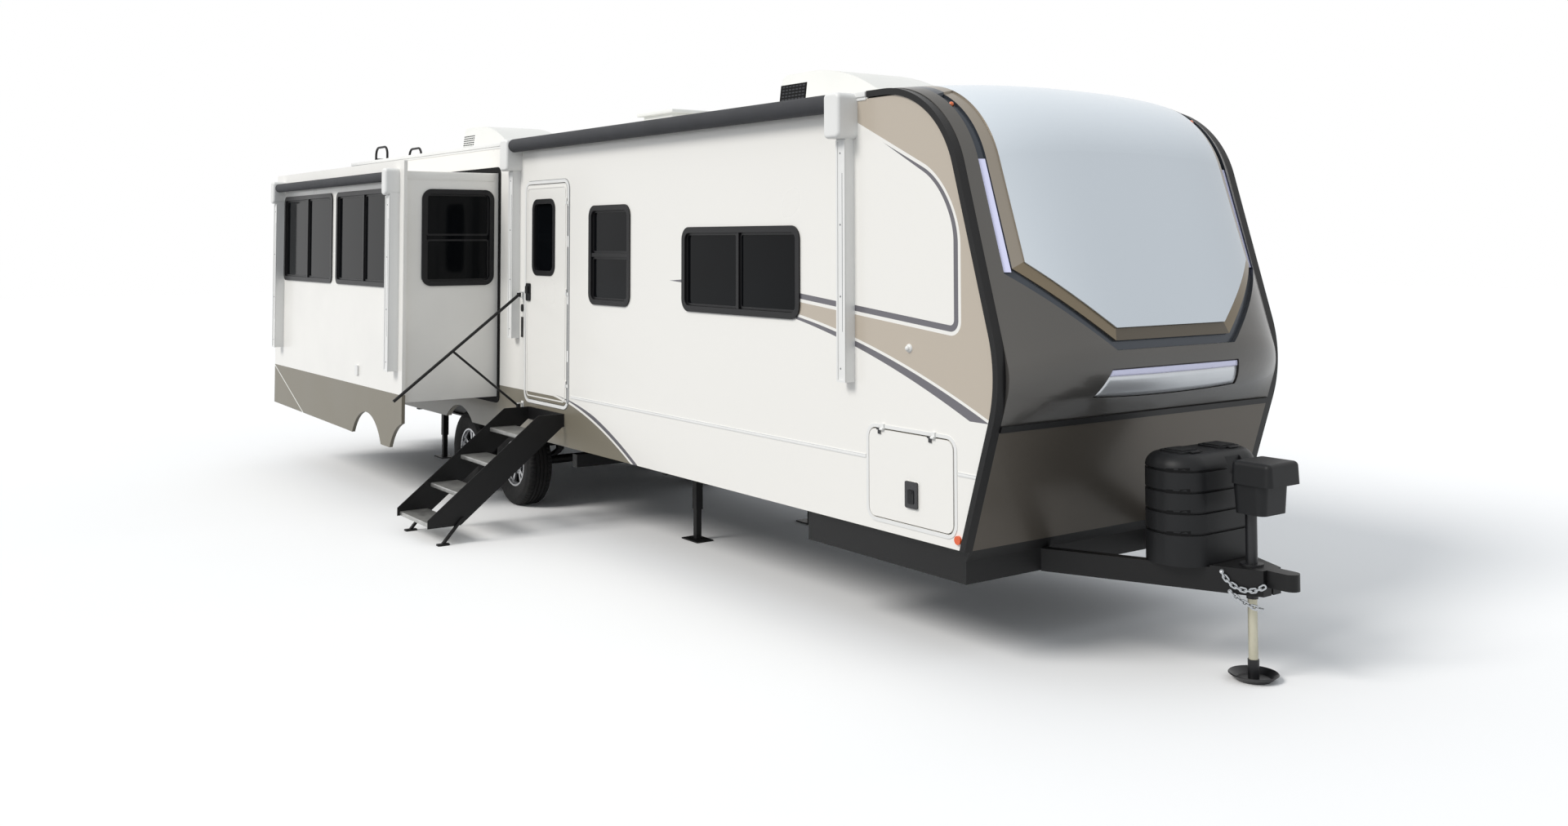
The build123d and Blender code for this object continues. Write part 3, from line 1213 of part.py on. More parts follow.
def awning_roller(arms, head_width, y, radius, at_height):
    """Rolled fabric between the heads, in the open part."""
    (rear, front, low), (rear_2, front_2, low_2) = sorted(arms)
    start = (rear + front + head_width) / 2
    length = (rear_2 + front_2 - head_width) / 2 - start
    with BuildSketch(Plane.YZ.offset(start)) as roll:
        with Locations((-y, height(at_height))):
            Circle(radius)
    extrude(roll.sketch, amount=length)


with BuildPart() as awning_arms:
    awning_frame(
        AWNING_ARMS, HALF_WIDTH, AWNING_ARM_DEPTH, AWNING_HEAD_DEPTH,
        AWNING_HEAD_WIDTH, AWNING_HEAD_LOW, AWNING_HEAD_HIGH,
    )
    fillet(awning_arms.faces().group_by(Axis.Y)[0].edges(), HEAD_ROUND)
export(awning_arms, "awning_arms")
with BuildPart() as awning_roll:
    y = HALF_WIDTH + AWNING_HEAD_DEPTH / 2
    awning_roller(AWNING_ARMS, AWNING_HEAD_WIDTH, y, ROLLER_RADIUS, ROLLER_HEIGHT)
export(awning_roll, "awning_roll")

with BuildPart() as topper_arms:
    awning_frame(
        TOPPER_ARMS, FACE_OUT, TOPPER_ARM_DEPTH, TOPPER_HEAD_DEPTH,
        TOPPER_HEAD_WIDTH, TOPPER_HEAD_LOW, TOPPER_HEAD_HIGH,
    )
    fillet(topper_arms.faces().group_by(Axis.Y)[0].edges(), HEAD_ROUND)
export(topper_arms, "topper_arms")
with BuildPart() as topper_roll:
    y = FACE_OUT + TOPPER_HEAD_DEPTH / 2
    awning_roller(TOPPER_ARMS, TOPPER_HEAD_WIDTH, y, TOPPER_RADIUS, TOPPER_HEIGHT)
export(topper_roll, "topper_roll")


def roof_height(y):
    """Height of the crowned roof at a distance from the centreline."""
    return ROOF_EDGE_HEIGHT + ROOF_CROWN * (1 - (y / HALF_WIDTH) ** 2)


def shroud(x, length, width, tall):
    """Shroud of a roof air conditioner, upright at the rear and sloping to a low front."""
    with BuildPart(mode=Mode.PRIVATE) as unit:
        foot = height(roof_height(0) + SEAT)
        rear, front = x - length / 2, x + length / 2
        with BuildSketch(Plane.XZ.offset(-width / 2)):
            with BuildLine():
                Line((rear, foot), (front, foot))
                Line((front, foot), (front, foot + tall / 4))
                ThreePointArc(
                    (front, foot + tall / 4),
                    (x + length / 8, foot + 0.86 * tall),
                    (rear + length / 4, foot + tall),
                )
                Line((rear + length / 4, foot + tall), (rear + length / 10, foot + tall))
                Line((rear + length / 10, foot + tall), (rear, foot + 0.8 * tall))
                Line((rear, foot + 0.8 * tall), (rear, foot))
            make_face()
        extrude(amount=width)
        with BuildSketch(Plane.XY.offset(foot)):
            with Locations((x, 0)):
                RectangleRounded(length, width, length / 14)
        extrude(amount=tall, taper=7, mode=Mode.INTERSECT)
        louvre_pitch = 0.6 * tall / AIR_LOUVRES
        with BuildSketch(Plane.YZ.offset(rear)):
            with Locations((0, foot + 0.42 * tall)):
                with GridLocations(1, louvre_pitch, 1, AIR_LOUVRES):
                    Rectangle(0.7 * width, louvre_pitch / 2)
        extrude(amount=length / 10, mode=Mode.SUBTRACT)
    return unit.part


with BuildPart() as air_conditioners:
    for unit in AIR_CONDITIONERS:
        add(shroud(*unit))
export(air_conditioners, "air_conditioners")

with BuildPart() as roof_vents:
    for x, y, length, width, tall in VENTS:
        nearest = max(abs(y) - width / 2, 0)
        with BuildSketch(Plane.XY.offset(height(roof_height(nearest) + SEAT))):
            with Locations((x, y)):
                RectangleRounded(length, width, 40)
        extrude(amount=tall, taper=6)
export(roof_vents, "roof_vents")

# Ladder on the rear wall, its rails hooked over the roof
with BuildPart() as ladder:
    ladder_x = BODY_REAR_X - LADDER_STAND
    hook_x, hook_height = BODY_REAR_X + LADDER_HOOK[0], ROOF_EDGE_HEIGHT + LADDER_HOOK[1]
    for side in (-1, 1):
        y = LADDER_Y + side * LADDER_HALF
        with BuildLine(Plane.XZ.offset(-y)) as route:
            FilletPolyline(
                (ladder_x, height(LADDER_LOW)),
                (ladder_x, height(hook_height)),
                (hook_x, height(hook_height)),
                (hook_x, height(roof_height(abs(y) - LADDER_TUBE)) + SEAT),
                radius=90,
            )
        with BuildSketch(Plane(origin=route.line @ 0, z_dir=route.line % 0)):
            Circle(LADDER_TUBE)
        sweep(path=route.line)
        with BuildSketch(Plane.YZ.offset(ladder_x)):
            stand_heights = (
                LADDER_LOW + 150, (LADDER_LOW + ROOF_EDGE_HEIGHT) / 2, WALL_TOP_HEIGHT - 150
            )
            with Locations([(y, height(h)) for h in stand_heights]):
                Circle(LADDER_TUBE - 4)
        extrude(amount=LADDER_STAND)
    with BuildSketch(Plane.XZ.offset(-(LADDER_Y + LADDER_HALF))):
        rung_low, rung_high = LADDER_LOW + 60, ROOF_EDGE_HEIGHT + 60
        with Locations((ladder_x, height((rung_low + rung_high) / 2))):
            with GridLocations(1, (rung_high - rung_low) / (LADDER_RUNGS - 1), 1, LADDER_RUNGS):
                Circle(LADDER_TUBE - 2)
    extrude(amount=2 * LADDER_HALF)
export(ladder, "ladder")

# Lamps: light strips in the cap's channel, side markers at the front, tail lamps
with BuildPart() as lamps:
    add(cap_layer(strip_outline(), None, LIGHT_STRIP_INSET, CHANNEL_DEPTH))
    for side in (-1, 1):
        with BuildSketch(side_plane(side, HALF_WIDTH, MARKER_DEPTH)):
            with Locations((MARKER_X, height(MARKER_HEIGHT))):
                Circle(MARKER_RADIUS)
        extrude(amount=MARKER_DEPTH)
    with BuildSketch(Plane.YZ.offset(BODY_REAR_X - TAIL_LAMP_DEPTH)):
        with Locations([(side * TAIL_LAMP_Y, height(TAIL_LAMP_HEIGHT)) for side in (-1, 1)]):
            RectangleRounded(*TAIL_LAMP_SIZE, TAIL_LAMP_SIZE[0] / 3)
    extrude(amount=TAIL_LAMP_DEPTH)
export(lamps, "lamps")
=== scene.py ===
import json
from math import cos, pi, radians, sin

import bmesh
import bpy
from mathutils import Matrix, Vector
from mathutils.bvhtree import BVHTree

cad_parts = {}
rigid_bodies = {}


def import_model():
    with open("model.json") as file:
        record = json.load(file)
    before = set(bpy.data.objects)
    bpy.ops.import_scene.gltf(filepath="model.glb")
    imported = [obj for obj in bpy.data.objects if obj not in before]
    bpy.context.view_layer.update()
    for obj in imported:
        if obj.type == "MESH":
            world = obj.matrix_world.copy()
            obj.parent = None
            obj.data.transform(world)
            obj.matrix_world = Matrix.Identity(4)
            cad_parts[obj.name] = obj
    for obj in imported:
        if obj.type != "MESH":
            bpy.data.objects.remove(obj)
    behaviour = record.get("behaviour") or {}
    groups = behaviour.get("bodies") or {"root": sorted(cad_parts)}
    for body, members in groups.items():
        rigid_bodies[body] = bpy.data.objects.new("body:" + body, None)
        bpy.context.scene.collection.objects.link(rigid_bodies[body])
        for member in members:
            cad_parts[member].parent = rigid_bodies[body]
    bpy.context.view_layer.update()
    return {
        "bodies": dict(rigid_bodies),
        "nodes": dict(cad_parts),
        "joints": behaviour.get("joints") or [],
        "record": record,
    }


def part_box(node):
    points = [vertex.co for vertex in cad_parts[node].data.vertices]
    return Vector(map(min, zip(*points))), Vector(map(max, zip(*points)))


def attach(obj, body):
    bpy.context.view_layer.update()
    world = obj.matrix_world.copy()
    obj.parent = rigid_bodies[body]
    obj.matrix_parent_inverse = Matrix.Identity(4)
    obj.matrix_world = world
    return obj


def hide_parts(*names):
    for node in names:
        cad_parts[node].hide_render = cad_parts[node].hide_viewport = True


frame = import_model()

NODES = frame["nodes"]
SIDES = {"right": -1, "left": 1}           # the sign of y on each side
AXLES = {"front": -7.09, "rear": -8.09}    # the x of each axle
WHEELS = {side + "_" + axle: (side, x)
          for side in SIDES for axle, x in AXLES.items()}

GROUND_Z = -0.550
WALL_FACE = 1.219                          # half the body's width
AXLE_HEIGHT = 0.367
NOSE_TRIM_END = -1.98
SUNK = 0.001                               # a detail's reach into its base

# The photograph's camera
CAMERA_PLACE = (4.352, -6.406, 1.799)
CAMERA_YAW, CAMERA_PITCH, CAMERA_ROLL = 144.158, 2.624, -0.083
CAMERA_LENS, SENSOR = 31.58, 36.0
PHOTO_WIDTH, PHOTO_HEIGHT = 1920, 1012
HORIZON_CENTRE = 217.591                   # the row of pixels on the lens axis


# Materials

def colour(code):
    """A hex colour as linear red, green, blue and alpha."""
    parts = [int(code[i:i + 2], 16) / 255 for i in (0, 2, 4)]
    return tuple(p / 12.92 if p <= 0.04045 else ((p + 0.055) / 1.055) ** 2.4
                 for p in parts) + (1.0,)


def operator(operation, swapped=False):
    """A method that adds a Math node for one arithmetic sign."""
    def method(self, other):
        values = (other, self) if swapped else (self, other)
        return self.math(operation, *values)
    return method


class Wire:
    """A socket that takes arithmetic; each operation adds a Math node."""

    def __init__(self, finish, socket):
        self.finish, self.socket = finish, socket

    def math(self, operation, *values):
        return self.finish.node("ShaderNodeMath", {"operation": operation},
                                dict(enumerate(values)))

    def __abs__(self):
        return self.math("ABSOLUTE", self)

    __add__ = __radd__ = operator("ADD")
    __mul__ = __rmul__ = operator("MULTIPLY")
    __sub__, __rsub__ = operator("SUBTRACT"), operator("SUBTRACT", swapped=True)
    __truediv__, __pow__ = operator("DIVIDE"), operator("POWER")
    __gt__, __lt__ = operator("GREATER_THAN"), operator("LESS_THAN")
    __and__, __or__ = operator("MINIMUM"), operator("MAXIMUM")


class Finish:
    """A material, or the world, whose nodes come from one method."""

    def __init__(self, name, kind=bpy.data.materials):
        self.owner = kind.new(name)
        self.owner.use_nodes = True
        self.tree = self.owner.node_tree
        self.tree.nodes.clear()

    def node(self, kind, settings=None, values=None, out=0):
        """A node with its settings, then its sockets' values and links."""
        made = self.tree.nodes.new(kind)
        for key, setting in (settings or {}).items():
            setattr(made, key, setting)
        for key, value in (values or {}).items():
            if isinstance(value, Wire):
                self.tree.links.new(value.socket, made.inputs[key])
            else:
                made.inputs[key].default_value = value
        return Wire(self, made.outputs[out]) if made.outputs else None

    def place(self):
        """The point's coordinates in the frame, which move with the body."""
        return self.node("ShaderNodeTexCoord", out="Object")

    def spot(self):
        """The point's x, y and height."""
        place = self.place()
        x, y, z = (self.node("ShaderNodeSeparateXYZ", None, {0: place}, out=i)
                   for i in range(3))
        return x, y, z - GROUND_Z

    def noise(self, scale, detail=3.0, stretch=None):
        """Cloudy noise; stretch gives it a grain that runs."""
        place = self.place()
        if stretch:
            place = self.node("ShaderNodeVectorMath", {"operation": "MULTIPLY"},
                              {0: place, 1: stretch})
        return self.node("ShaderNodeTexNoise", None,
                         {"Vector": place, "Scale": scale, "Detail": detail})

    def wave(self, scale, distortion=0.0, way="X"):
        """Even bands, for a weave, bars or prisms."""
        return self.node("ShaderNodeTexWave",
                         {"wave_type": "BANDS", "bands_direction": way},
                         {"Vector": self.place(), "Scale": scale,
                          "Distortion": distortion})

    def blend(self, mask, first, second):
        """One colour where the mask is 0 and another where it is 1."""
        first, second = (colour(tone) if isinstance(tone, str) else tone
                         for tone in (first, second))
        return self.node("ShaderNodeMix", {"data_type": "RGBA"},
                         {0: mask, 6: first, 7: second}, out=2)

    def shades(self, mask, code, low, high=1.0):
        """One colour that drifts between two strengths."""
        tones = [(*(min(1.0, part * share) for part in colour(code)[:3]), 1.0)
                 for share in (low, high)]
        return self.blend(mask, *tones)

    def soft(self, value, low, high):
        """0 below low, 1 above high and even between them."""
        return self.node("ShaderNodeMapRange", None,
                         {"Value": value, "From Min": low, "From Max": high})

    def bump(self, height, distance, strength):
        return self.node("ShaderNodeBump", None,
                         {"Height": height, "Distance": distance,
                          "Strength": strength})

    def end(self, kind, shader):
        """Closes the tree with its output node."""
        self.node(kind, None, {"Surface": shader})
        return self.owner

    def surface(self, **sockets):
        """Closes the material with a Principled shader."""
        named = {key.replace("_", " "): value for key, value in sockets.items()}
        return self.end("ShaderNodeOutputMaterial",
                        self.node("ShaderNodeBsdfPrincipled", None, named))


def even_finish(name, code, roughness, grain=300.0, depth=0.0004, drift=0.07,
                **extra):
    """One colour that drifts a little, with fine grain in its skin."""
    f = Finish(name)
    cloud = f.noise(1.7)
    skin = f.noise(grain, detail=2.0)
    return f.surface(Base_Color=f.shades(cloud, code, 1 - drift, 1 + drift),
                     Roughness=(roughness + (cloud - 0.5) * 0.16
                                + (skin - 0.5) * 0.06),
                     Normal=f.bump(skin, depth, 0.35), **extra)


WHITE = "f1efea"
LINING = "d9d4c8"
LATCH_BLACK = "17171a"
BEIGE = "bcb1a2"
CHARCOAL = "66646a"
TAUPE = "7c7668"
LINING_DEPTH, LATCH_PROUD = 0.006, 0.0095  # inside and outside the wall's face

# The white panel at the nose of each side wall. A line is its x, its height
# there and its slope, and a curve has its bend as well.
PANEL_TOP = (-1.991, 3.019, -0.4596)
PANEL_BOTTOM = (-1.284, 1.827, -0.0971)
PANEL_FRONT = -1.183
PANEL_BROW, PANEL_HEEL = 0.30, 0.09        # corner radii
PANEL_UPPER = 2.5                          # height between its two long edges
WHITE_LINE, DARK_LINE = 0.021, 0.056       # ends of the two lines at the edge
DARK_FADES = (-1.836, -1.286)              # the upper dark line swells between
BEIGE_REAR = -2.70
DASH = (-4.248, -4.046)                    # spike behind the middle window
DASH_HEIGHT, DASH_HALF = 2.061, 0.013
# The long curve under the beige and the lines below it
SWEEP = (-2.675, 1.884, -0.1607, -0.07585)
SWEEP_LINE = 0.018
SWEEP_BAND, SWEEP_SWELL = 0.019, 0.027     # the dark line's width and growth
SWEEP_FOOT = 1.372
# The taupe band along the sill and the curve that ends it ahead of the door
SILL = (-6.1, 1.060, -0.1138, -0.1488)
SILL_LINE = 0.020
SILL_FADES = (-6.05, -5.4)                 # its dark line swells between
SILL_BAND = 0.034
SILL_REAR = (-10.55, 0.55)                 # x at the ground, and run over rise


def straight(x, line):
    """Height of a straight line."""
    return (x - line[0]) * line[2] + line[1]


def curved(run, line):
    """Height of a curve, by the distance ahead of its x."""
    return run * run * line[3] + run * line[2] + line[1]


def corner(across, along, radius):
    """Depth inside a corner that is rounded off."""
    a, b = (radius - across) | 0.0, (radius - along) | 0.0
    return radius - (a * a + b * b) ** 0.5


def side_stripes(f, x, height):
    """Masks of the beige, the charcoal and the taupe on a side wall."""
    top = (straight(x, PANEL_TOP) - height) / (1 + PANEL_TOP[2] ** 2) ** 0.5
    bottom = height - straight(x, PANEL_BOTTOM)
    front = PANEL_FRONT - x
    depth = corner(top, front, PANEL_BROW) & corner(bottom, front, PANEL_HEEL)
    sweep = curved(x - SWEEP[0], SWEEP)
    ahead = x > BEIGE_REAR
    beige = (depth < 0.0) & (height > sweep) & ahead
    swell = f.soft(x, *DARK_FADES) | (height < PANEL_UPPER)
    inner = swell * (DARK_LINE - WHITE_LINE) + WHITE_LINE
    dark = ((depth > WHITE_LINE) & (depth < inner)
            & (ahead | (height > PANEL_UPPER)))
    spike = f.soft(x, *DASH) * DASH_HALF
    dark = dark | ((abs(height - DASH_HEIGHT) < spike) & (x < DASH[1]))
    below = sweep - SWEEP_LINE
    width = (x - SWEEP[0]) * SWEEP_SWELL + SWEEP_BAND
    dark = dark | ((height < below) & (height > (below - width)) & ahead
                   & (height > SWEEP_FOOT))
    sill = curved((x - SILL[0]) | 0.0, SILL)
    taupe = (height < sill) & (x > (height * SILL_REAR[1] + SILL_REAR[0]))
    line = sill + SILL_LINE
    band = f.soft(x, *SILL_FADES) * SILL_BAND
    dark = dark | ((height > line) & (height < (line + band))
                   & (x > SILL_FADES[0]))
    return beige, dark & (x > SILL[0]), taupe


def side_paint():
    """Gloss white side skin with its stripes, and the lining on its inside."""
    f = Finish("side_paint")
    x, y, height = f.spot()
    beige, dark, taupe = side_stripes(f, x, height)
    cloud = f.noise(0.9)
    tone = f.shades(cloud, WHITE, 0.985)
    tone = f.blend(beige, tone, BEIGE)
    tone = f.blend(taupe, tone, TAUPE)
    tone = f.blend(dark, tone, CHARCOAL)
    outside = abs(y) > (WALL_FACE - LINING_DEPTH)
    latch = (abs(y) > (WALL_FACE + LATCH_PROUD)) & (x > NOSE_TRIM_END)
    weave = f.noise(420.0, detail=2.0)
    tone = f.blend(outside, LINING, tone)
    tone = f.blend(latch, tone, LATCH_BLACK)
    return f.surface(Base_Color=tone,
                     Roughness=0.30 + (cloud - 0.5) * 0.14 + (1 - outside) * 0.35,
                     Normal=f.bump(weave, 0.0003, 0.15),
                     Coat_Weight=0.25, Coat_Roughness=0.12)


# The front cap: a raised white panel with a six-sided foot, a bevel round it
# and a channel round the bevel that holds the lights
CAP_PANEL_HALF = 0.975
CAP_PANEL_KNEE = 2.231
CAP_PANEL_FOOT = 1.868
CAP_PANEL_SLOPE = 0.726                    # rise over run of the slanting edges
BEVEL = 0.069
CHANNEL = 0.052
CAP_GREY = "5d5b58"
# The bevel's taupe in painted light and shade: lighter on the upright sides, darker
# on the slants, darkest along the foot
BEVEL_LIT_SIDE, BEVEL_HALF_SHADED_SLANT, BEVEL_SHADED_FOOT = "9a9184", "7d705a", "574f42"
CHANNEL_DARK = "43484f"
CAP_WHITE = "dfe6ec"


def hexagon(y, height):
    """Distances inside the side, slanting and lower edges of the cap's panel."""
    lean = (1 + CAP_PANEL_SLOPE ** 2) ** 0.5
    rise = height - CAP_PANEL_KNEE - (abs(y) - CAP_PANEL_HALF) * CAP_PANEL_SLOPE
    return CAP_PANEL_HALF - abs(y), rise / lean, height - CAP_PANEL_FOOT


def cap_paint():
    """Metallic grey gelcoat with the white panel, its bevel and the channel; the
    bevel's taupe carries painted light and shade.
    """
    f = Finish("cap_paint")
    _, y, height = f.spot()
    side, slant, foot = hexagon(y, height)
    inside = side & slant & foot
    panel = inside > 0.0
    fleck = f.noise(900.0, detail=1.0)
    cloud = f.noise(1.2)
    grey = f.shades(fleck, CAP_GREY, 0.86, 1.16)
    # Painted light and shade on the bevel: lit on its upright sides, half shaded on
    # the slants, shaded along the foot
    taupe = f.blend(slant < side, BEVEL_LIT_SIDE, BEVEL_HALF_SHADED_SLANT)
    taupe = f.blend(foot < (side & slant), taupe, BEVEL_SHADED_FOOT)
    taupe = f.blend(fleck * 0.25, taupe, CAP_GREY)
    tone = f.blend(inside > -(BEVEL + CHANNEL), grey, CHANNEL_DARK)
    tone = f.blend(inside > -BEVEL, tone, taupe)
    tone = f.blend(panel, tone, CAP_WHITE)
    return f.surface(Base_Color=tone,
                     Metallic=(1 - panel) * 0.45, Specular_IOR_Level=0.3,
                     Roughness=(0.30 + (cloud - 0.5) * 0.12
                                + (fleck - 0.5) * 0.05),
                     Normal=f.bump(cloud, 0.002, 0.1),
                     Coat_Weight=0.2, Coat_Roughness=0.06)


def chin_paint():
    """Metallic taupe sheet below the cap."""
    f = Finish("chin_paint")
    fleck = f.noise(1100.0, detail=1.0)
    cloud = f.noise(1.1)
    return f.surface(Base_Color=f.shades(fleck, "5c564e", 0.82, 1.18),
                     Metallic=0.45, Specular_IOR_Level=0.3,
                     Roughness=0.36 + (cloud - 0.5) * 0.12,
                     Normal=f.bump(cloud, 0.003, 0.12),
                     Coat_Weight=0.15, Coat_Roughness=0.15)


def roof_skin():
    """Rubber roofing, chalky with faint run marks."""
    f = Finish("roof_skin")
    streak = f.noise(3.0, stretch=(1.0, 6.0, 1.0))
    skin = f.noise(260.0, detail=2.0)
    return f.surface(Base_Color=f.blend(streak, "e4e3de", "f0efec"),
                     Roughness=0.62 + (streak - 0.5) * 0.2,
                     Normal=f.bump(skin, 0.0006, 0.4))


def tinted_glass():
    """Dark safety glass: nearly black, glossy."""
    f = Finish("tinted_glass")
    cloud = f.noise(1.4)
    return f.surface(Base_Color=f.blend(cloud, "050607", "0d0f12"),
                     Roughness=0.06 + cloud * 0.03, Specular_IOR_Level=0.08,
                     Normal=f.bump(cloud, 0.004, 0.05))


AXLES_MIDDLE = sum(AXLES.values()) / 2
AXLES_HALF = AXLES["front"] - AXLES_MIDDLE
TREAD_FOOT = 0.325                         # radius where the shoulder starts
RIM_POCKET = (1.064, 1.078)                # |y| of the pockets and the face
TYRE_RINGS, LATHE_RINGS = 1400.0, 2600.0   # the waves' radians per metre


def wheel_radius(f):
    """Distance from the nearest axle, and the place across."""
    x, y, height = f.spot()
    run = abs(x - AXLES_MIDDLE) - AXLES_HALF
    rise = height - AXLE_HEIGHT
    return (run * run + rise * rise) ** 0.5, y


def tyre_rubber():
    """Carbon-black rubber, dusty, with fine rings on its side walls."""
    f = Finish("tyre_rubber")
    radius, _ = wheel_radius(f)
    dust = f.soft(f.noise(24.0), 0.45, 0.75)
    grain = f.noise(500.0, detail=2.0)
    rings = radius.math("SINE", radius * TYRE_RINGS) * (radius < TREAD_FOOT)
    return f.surface(Base_Color=f.blend(dust, "131314", "211f1e"),
                     Roughness=0.72 + (grain - 0.5) * 0.2, Specular_IOR_Level=0.3,
                     Normal=f.bump(grain * 0.4 + rings, 0.0006, 0.4))


def rim_alloy():
    """Machined alloy face over dark painted pockets."""
    f = Finish("wheel_alloy")
    radius, y = wheel_radius(f)
    face = f.soft(abs(y), *RIM_POCKET)
    turned = f.noise(4.0, detail=1.0)
    lathe = radius.math("SINE", radius * LATHE_RINGS)
    tone = f.blend(face, "2e2f32", f.blend(turned, "b4b5b8", "d2d3d5"))
    return f.surface(Base_Color=tone, Metallic=0.35 + face * 0.55,
                     Roughness=0.42 - face * 0.16 + (turned - 0.5) * 0.08,
                     Normal=f.bump(lathe, 0.00015, 0.3))


def bright_metal(name, code, roughness, brushed=None):
    """Bare metal with the marks of its brushing."""
    f = Finish(name)
    brush = f.noise(60.0, stretch=brushed)
    cloud = f.noise(5.0)
    return f.surface(Base_Color=f.shades(cloud, code, 0.88), Metallic=0.9,
                     Roughness=roughness + (brush - 0.5) * 0.18,
                     Normal=f.bump(brush, 0.0004, 0.3))


def awning_cloth():
    """Woven awning fabric wound on its roller, with its shaded stripes."""
    f = Finish("awning_cloth")
    weave = f.wave(180.0, distortion=0.4)
    cloud = f.noise(4.0)
    return f.surface(Base_Color=f.blend(cloud, "2c2d30", "3a3b3f"),
                     Roughness=0.82 + (weave - 0.5) * 0.1,
                     Normal=f.bump(weave, 0.0006, 0.4))


STRIP_LILAC = "d3d4ee"
LAMPS_REAR, STRIPS_LOW = -3.0, 1.55        # x behind the nose's lamps, height


def light_strip():
    """Milky plastic over a lit strip."""
    f = Finish("strip_light")
    cloud = f.noise(30.0)
    tone = f.shades(cloud, STRIP_LILAC, 0.94)
    return f.surface(Base_Color=tone, Roughness=0.25 + cloud * 0.08,
                     Emission_Color=tone, Emission_Strength=0.22,
                     Coat_Weight=0.4, Coat_Roughness=0.1)


def amber_lens():
    """Moulded amber lens with fine prisms."""
    f = Finish("lamp_amber")
    cloud = f.noise(8.0)
    return f.surface(Base_Color=f.shades(cloud, "f06a0e", 0.8),
                     Roughness=0.12 + cloud * 0.08,
                     Normal=f.bump(f.wave(90.0), 0.0008, 0.4),
                     Coat_Weight=1.0, Coat_Roughness=0.03)


def lamp_lenses():
    """Lilac light strips on the cap, amber markers and red tail lamps."""
    f = Finish("lamp_lenses")
    x, _, height = f.spot()
    cloud = f.noise(8.0)
    ahead = x > LAMPS_REAR
    strips = ahead & (height > STRIPS_LOW)
    coloured = f.blend(ahead, "a3140e", "e8590c")
    coloured = f.blend(cloud, coloured, f.blend(0.2, coloured, "2a0806"))
    return f.surface(Base_Color=f.blend(strips, coloured, STRIP_LILAC),
                     Roughness=0.16 + cloud * 0.08,
                     Emission_Color=f.blend(strips, "000000", "c4c6ec"),
                     Emission_Strength=0.22,
                     Normal=f.bump(f.wave(90.0), 0.0006, 0.3),
                     Coat_Weight=0.6, Coat_Roughness=0.05)


JACK_INNER = (0.109, 0.430)                # heights of the bare inner tube


def jack_paint():
    """Black tube and foot, with the cream zinc of the inner tube between."""
    f = Finish("jack_paint")
    _, _, height = f.spot()
    bare = (height > JACK_INNER[0]) & (height < JACK_INNER[1])
    cloud = f.noise(9.0)
    scuff = f.noise(40.0, stretch=(1.0, 1.0, 0.15))
    black = f.blend(cloud, "101012", "1e1f22")
    zinc = f.blend(scuff, "b7b29c", "d8d4c0")
    return f.surface(Base_Color=f.blend(bare, black, zinc),
                     Metallic=bare * 0.5, Roughness=0.40 + (scuff - 0.5) * 0.2,
                     Normal=f.bump(scuff, 0.0006, 0.3))


SKIRT_LINE = (-10.96, 0.999, -0.403)
SKIRT_LINE_WIDTH = 0.013


def skirt_paint():
    """Taupe skirt with a slanting white line at its rear."""
    f = Finish("skirt_paint")
    x, _, height = f.spot()
    line = abs(height - straight(x, SKIRT_LINE)) < (SKIRT_LINE_WIDTH / 2)
    cloud = f.noise(1.7)
    skin = f.noise(300.0, detail=2.0)
    tone = f.blend(line, f.shades(cloud, TAUPE, 0.93, 1.05), "e8e8e2")
    return f.surface(Base_Color=tone, Roughness=0.42 + (cloud - 0.5) * 0.14,
                     Normal=f.bump(skin, 0.0004, 0.3))


def checker_tread():
    """Bare aluminium treads with raised grip bars."""
    f = Finish("tread_plate")
    bars = f.wave(28.0, way="Y")
    cloud = f.noise(12.0)
    return f.surface(Base_Color=f.blend(cloud, "9a9a98", "c9c9c6"), Metallic=0.85,
                     Roughness=0.38 + (cloud - 0.5) * 0.2,
                     Normal=f.bump(bars, 0.002, 0.6))


def cabin_floor():
    """Plank vinyl on the deck, black sealed board beneath."""
    f = Finish("cabin_floor")
    _, _, height = f.spot()
    plank = f.noise(3.0, stretch=(1.0, 9.0, 1.0))
    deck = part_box("floor_deck")[1].z - GROUND_Z
    top = f.soft(height, deck - 0.02, deck - 0.01)
    tone = f.blend(top, "161617", f.blend(plank, "7a6b5c", "9b8b79"))
    return f.surface(Base_Color=tone, Roughness=0.5 + (plank - 0.5) * 0.2,
                     Normal=f.bump(plank, 0.001, 0.3))


SIDE_PAINT = side_paint()
CAP_PAINT = cap_paint()
CHIN_PAINT = chin_paint()
ROOF_SKIN = roof_skin()
GLASS = tinted_glass()
RUBBER = tyre_rubber()
ALLOY = rim_alloy()
ZINC = bright_metal("zinc_plate", "b9bcbf", 0.34)
PLATE_SILVER = bright_metal("plate_silver", "cfd2d6", 0.42, (1.0, 1.0, 60.0))
TREAD = checker_tread()
AWNING_CLOTH = awning_cloth()
DECK = cabin_floor()
BODY_WHITE = even_finish("gloss_white", WHITE, 0.32, Coat_Weight=0.25,
                         Coat_Roughness=0.12)
ARM_WHITE = even_finish("powder_white", "e9e9e7", 0.38)
UNIT_WHITE = even_finish("unit_white", "e8e8e4", 0.46, grain=200.0, depth=0.0007)
TRIM_BLACK = even_finish("trim_black", "101011", 0.40, depth=0.0006,
                         Specular_IOR_Level=0.3)
FRAME_BLACK = even_finish("chassis_black", "0f0f10", 0.46, grain=120.0,
                          depth=0.0009, drift=0.2, Specular_IOR_Level=0.3)
WINDOW_BLACK = even_finish("window_frame_black", "161618", 0.40,
                           Specular_IOR_Level=0.3)
COVER_BLACK = even_finish("moulded_black", "131416", 0.50, grain=420.0,
                          depth=0.0008, drift=0.12, Specular_IOR_Level=0.3)
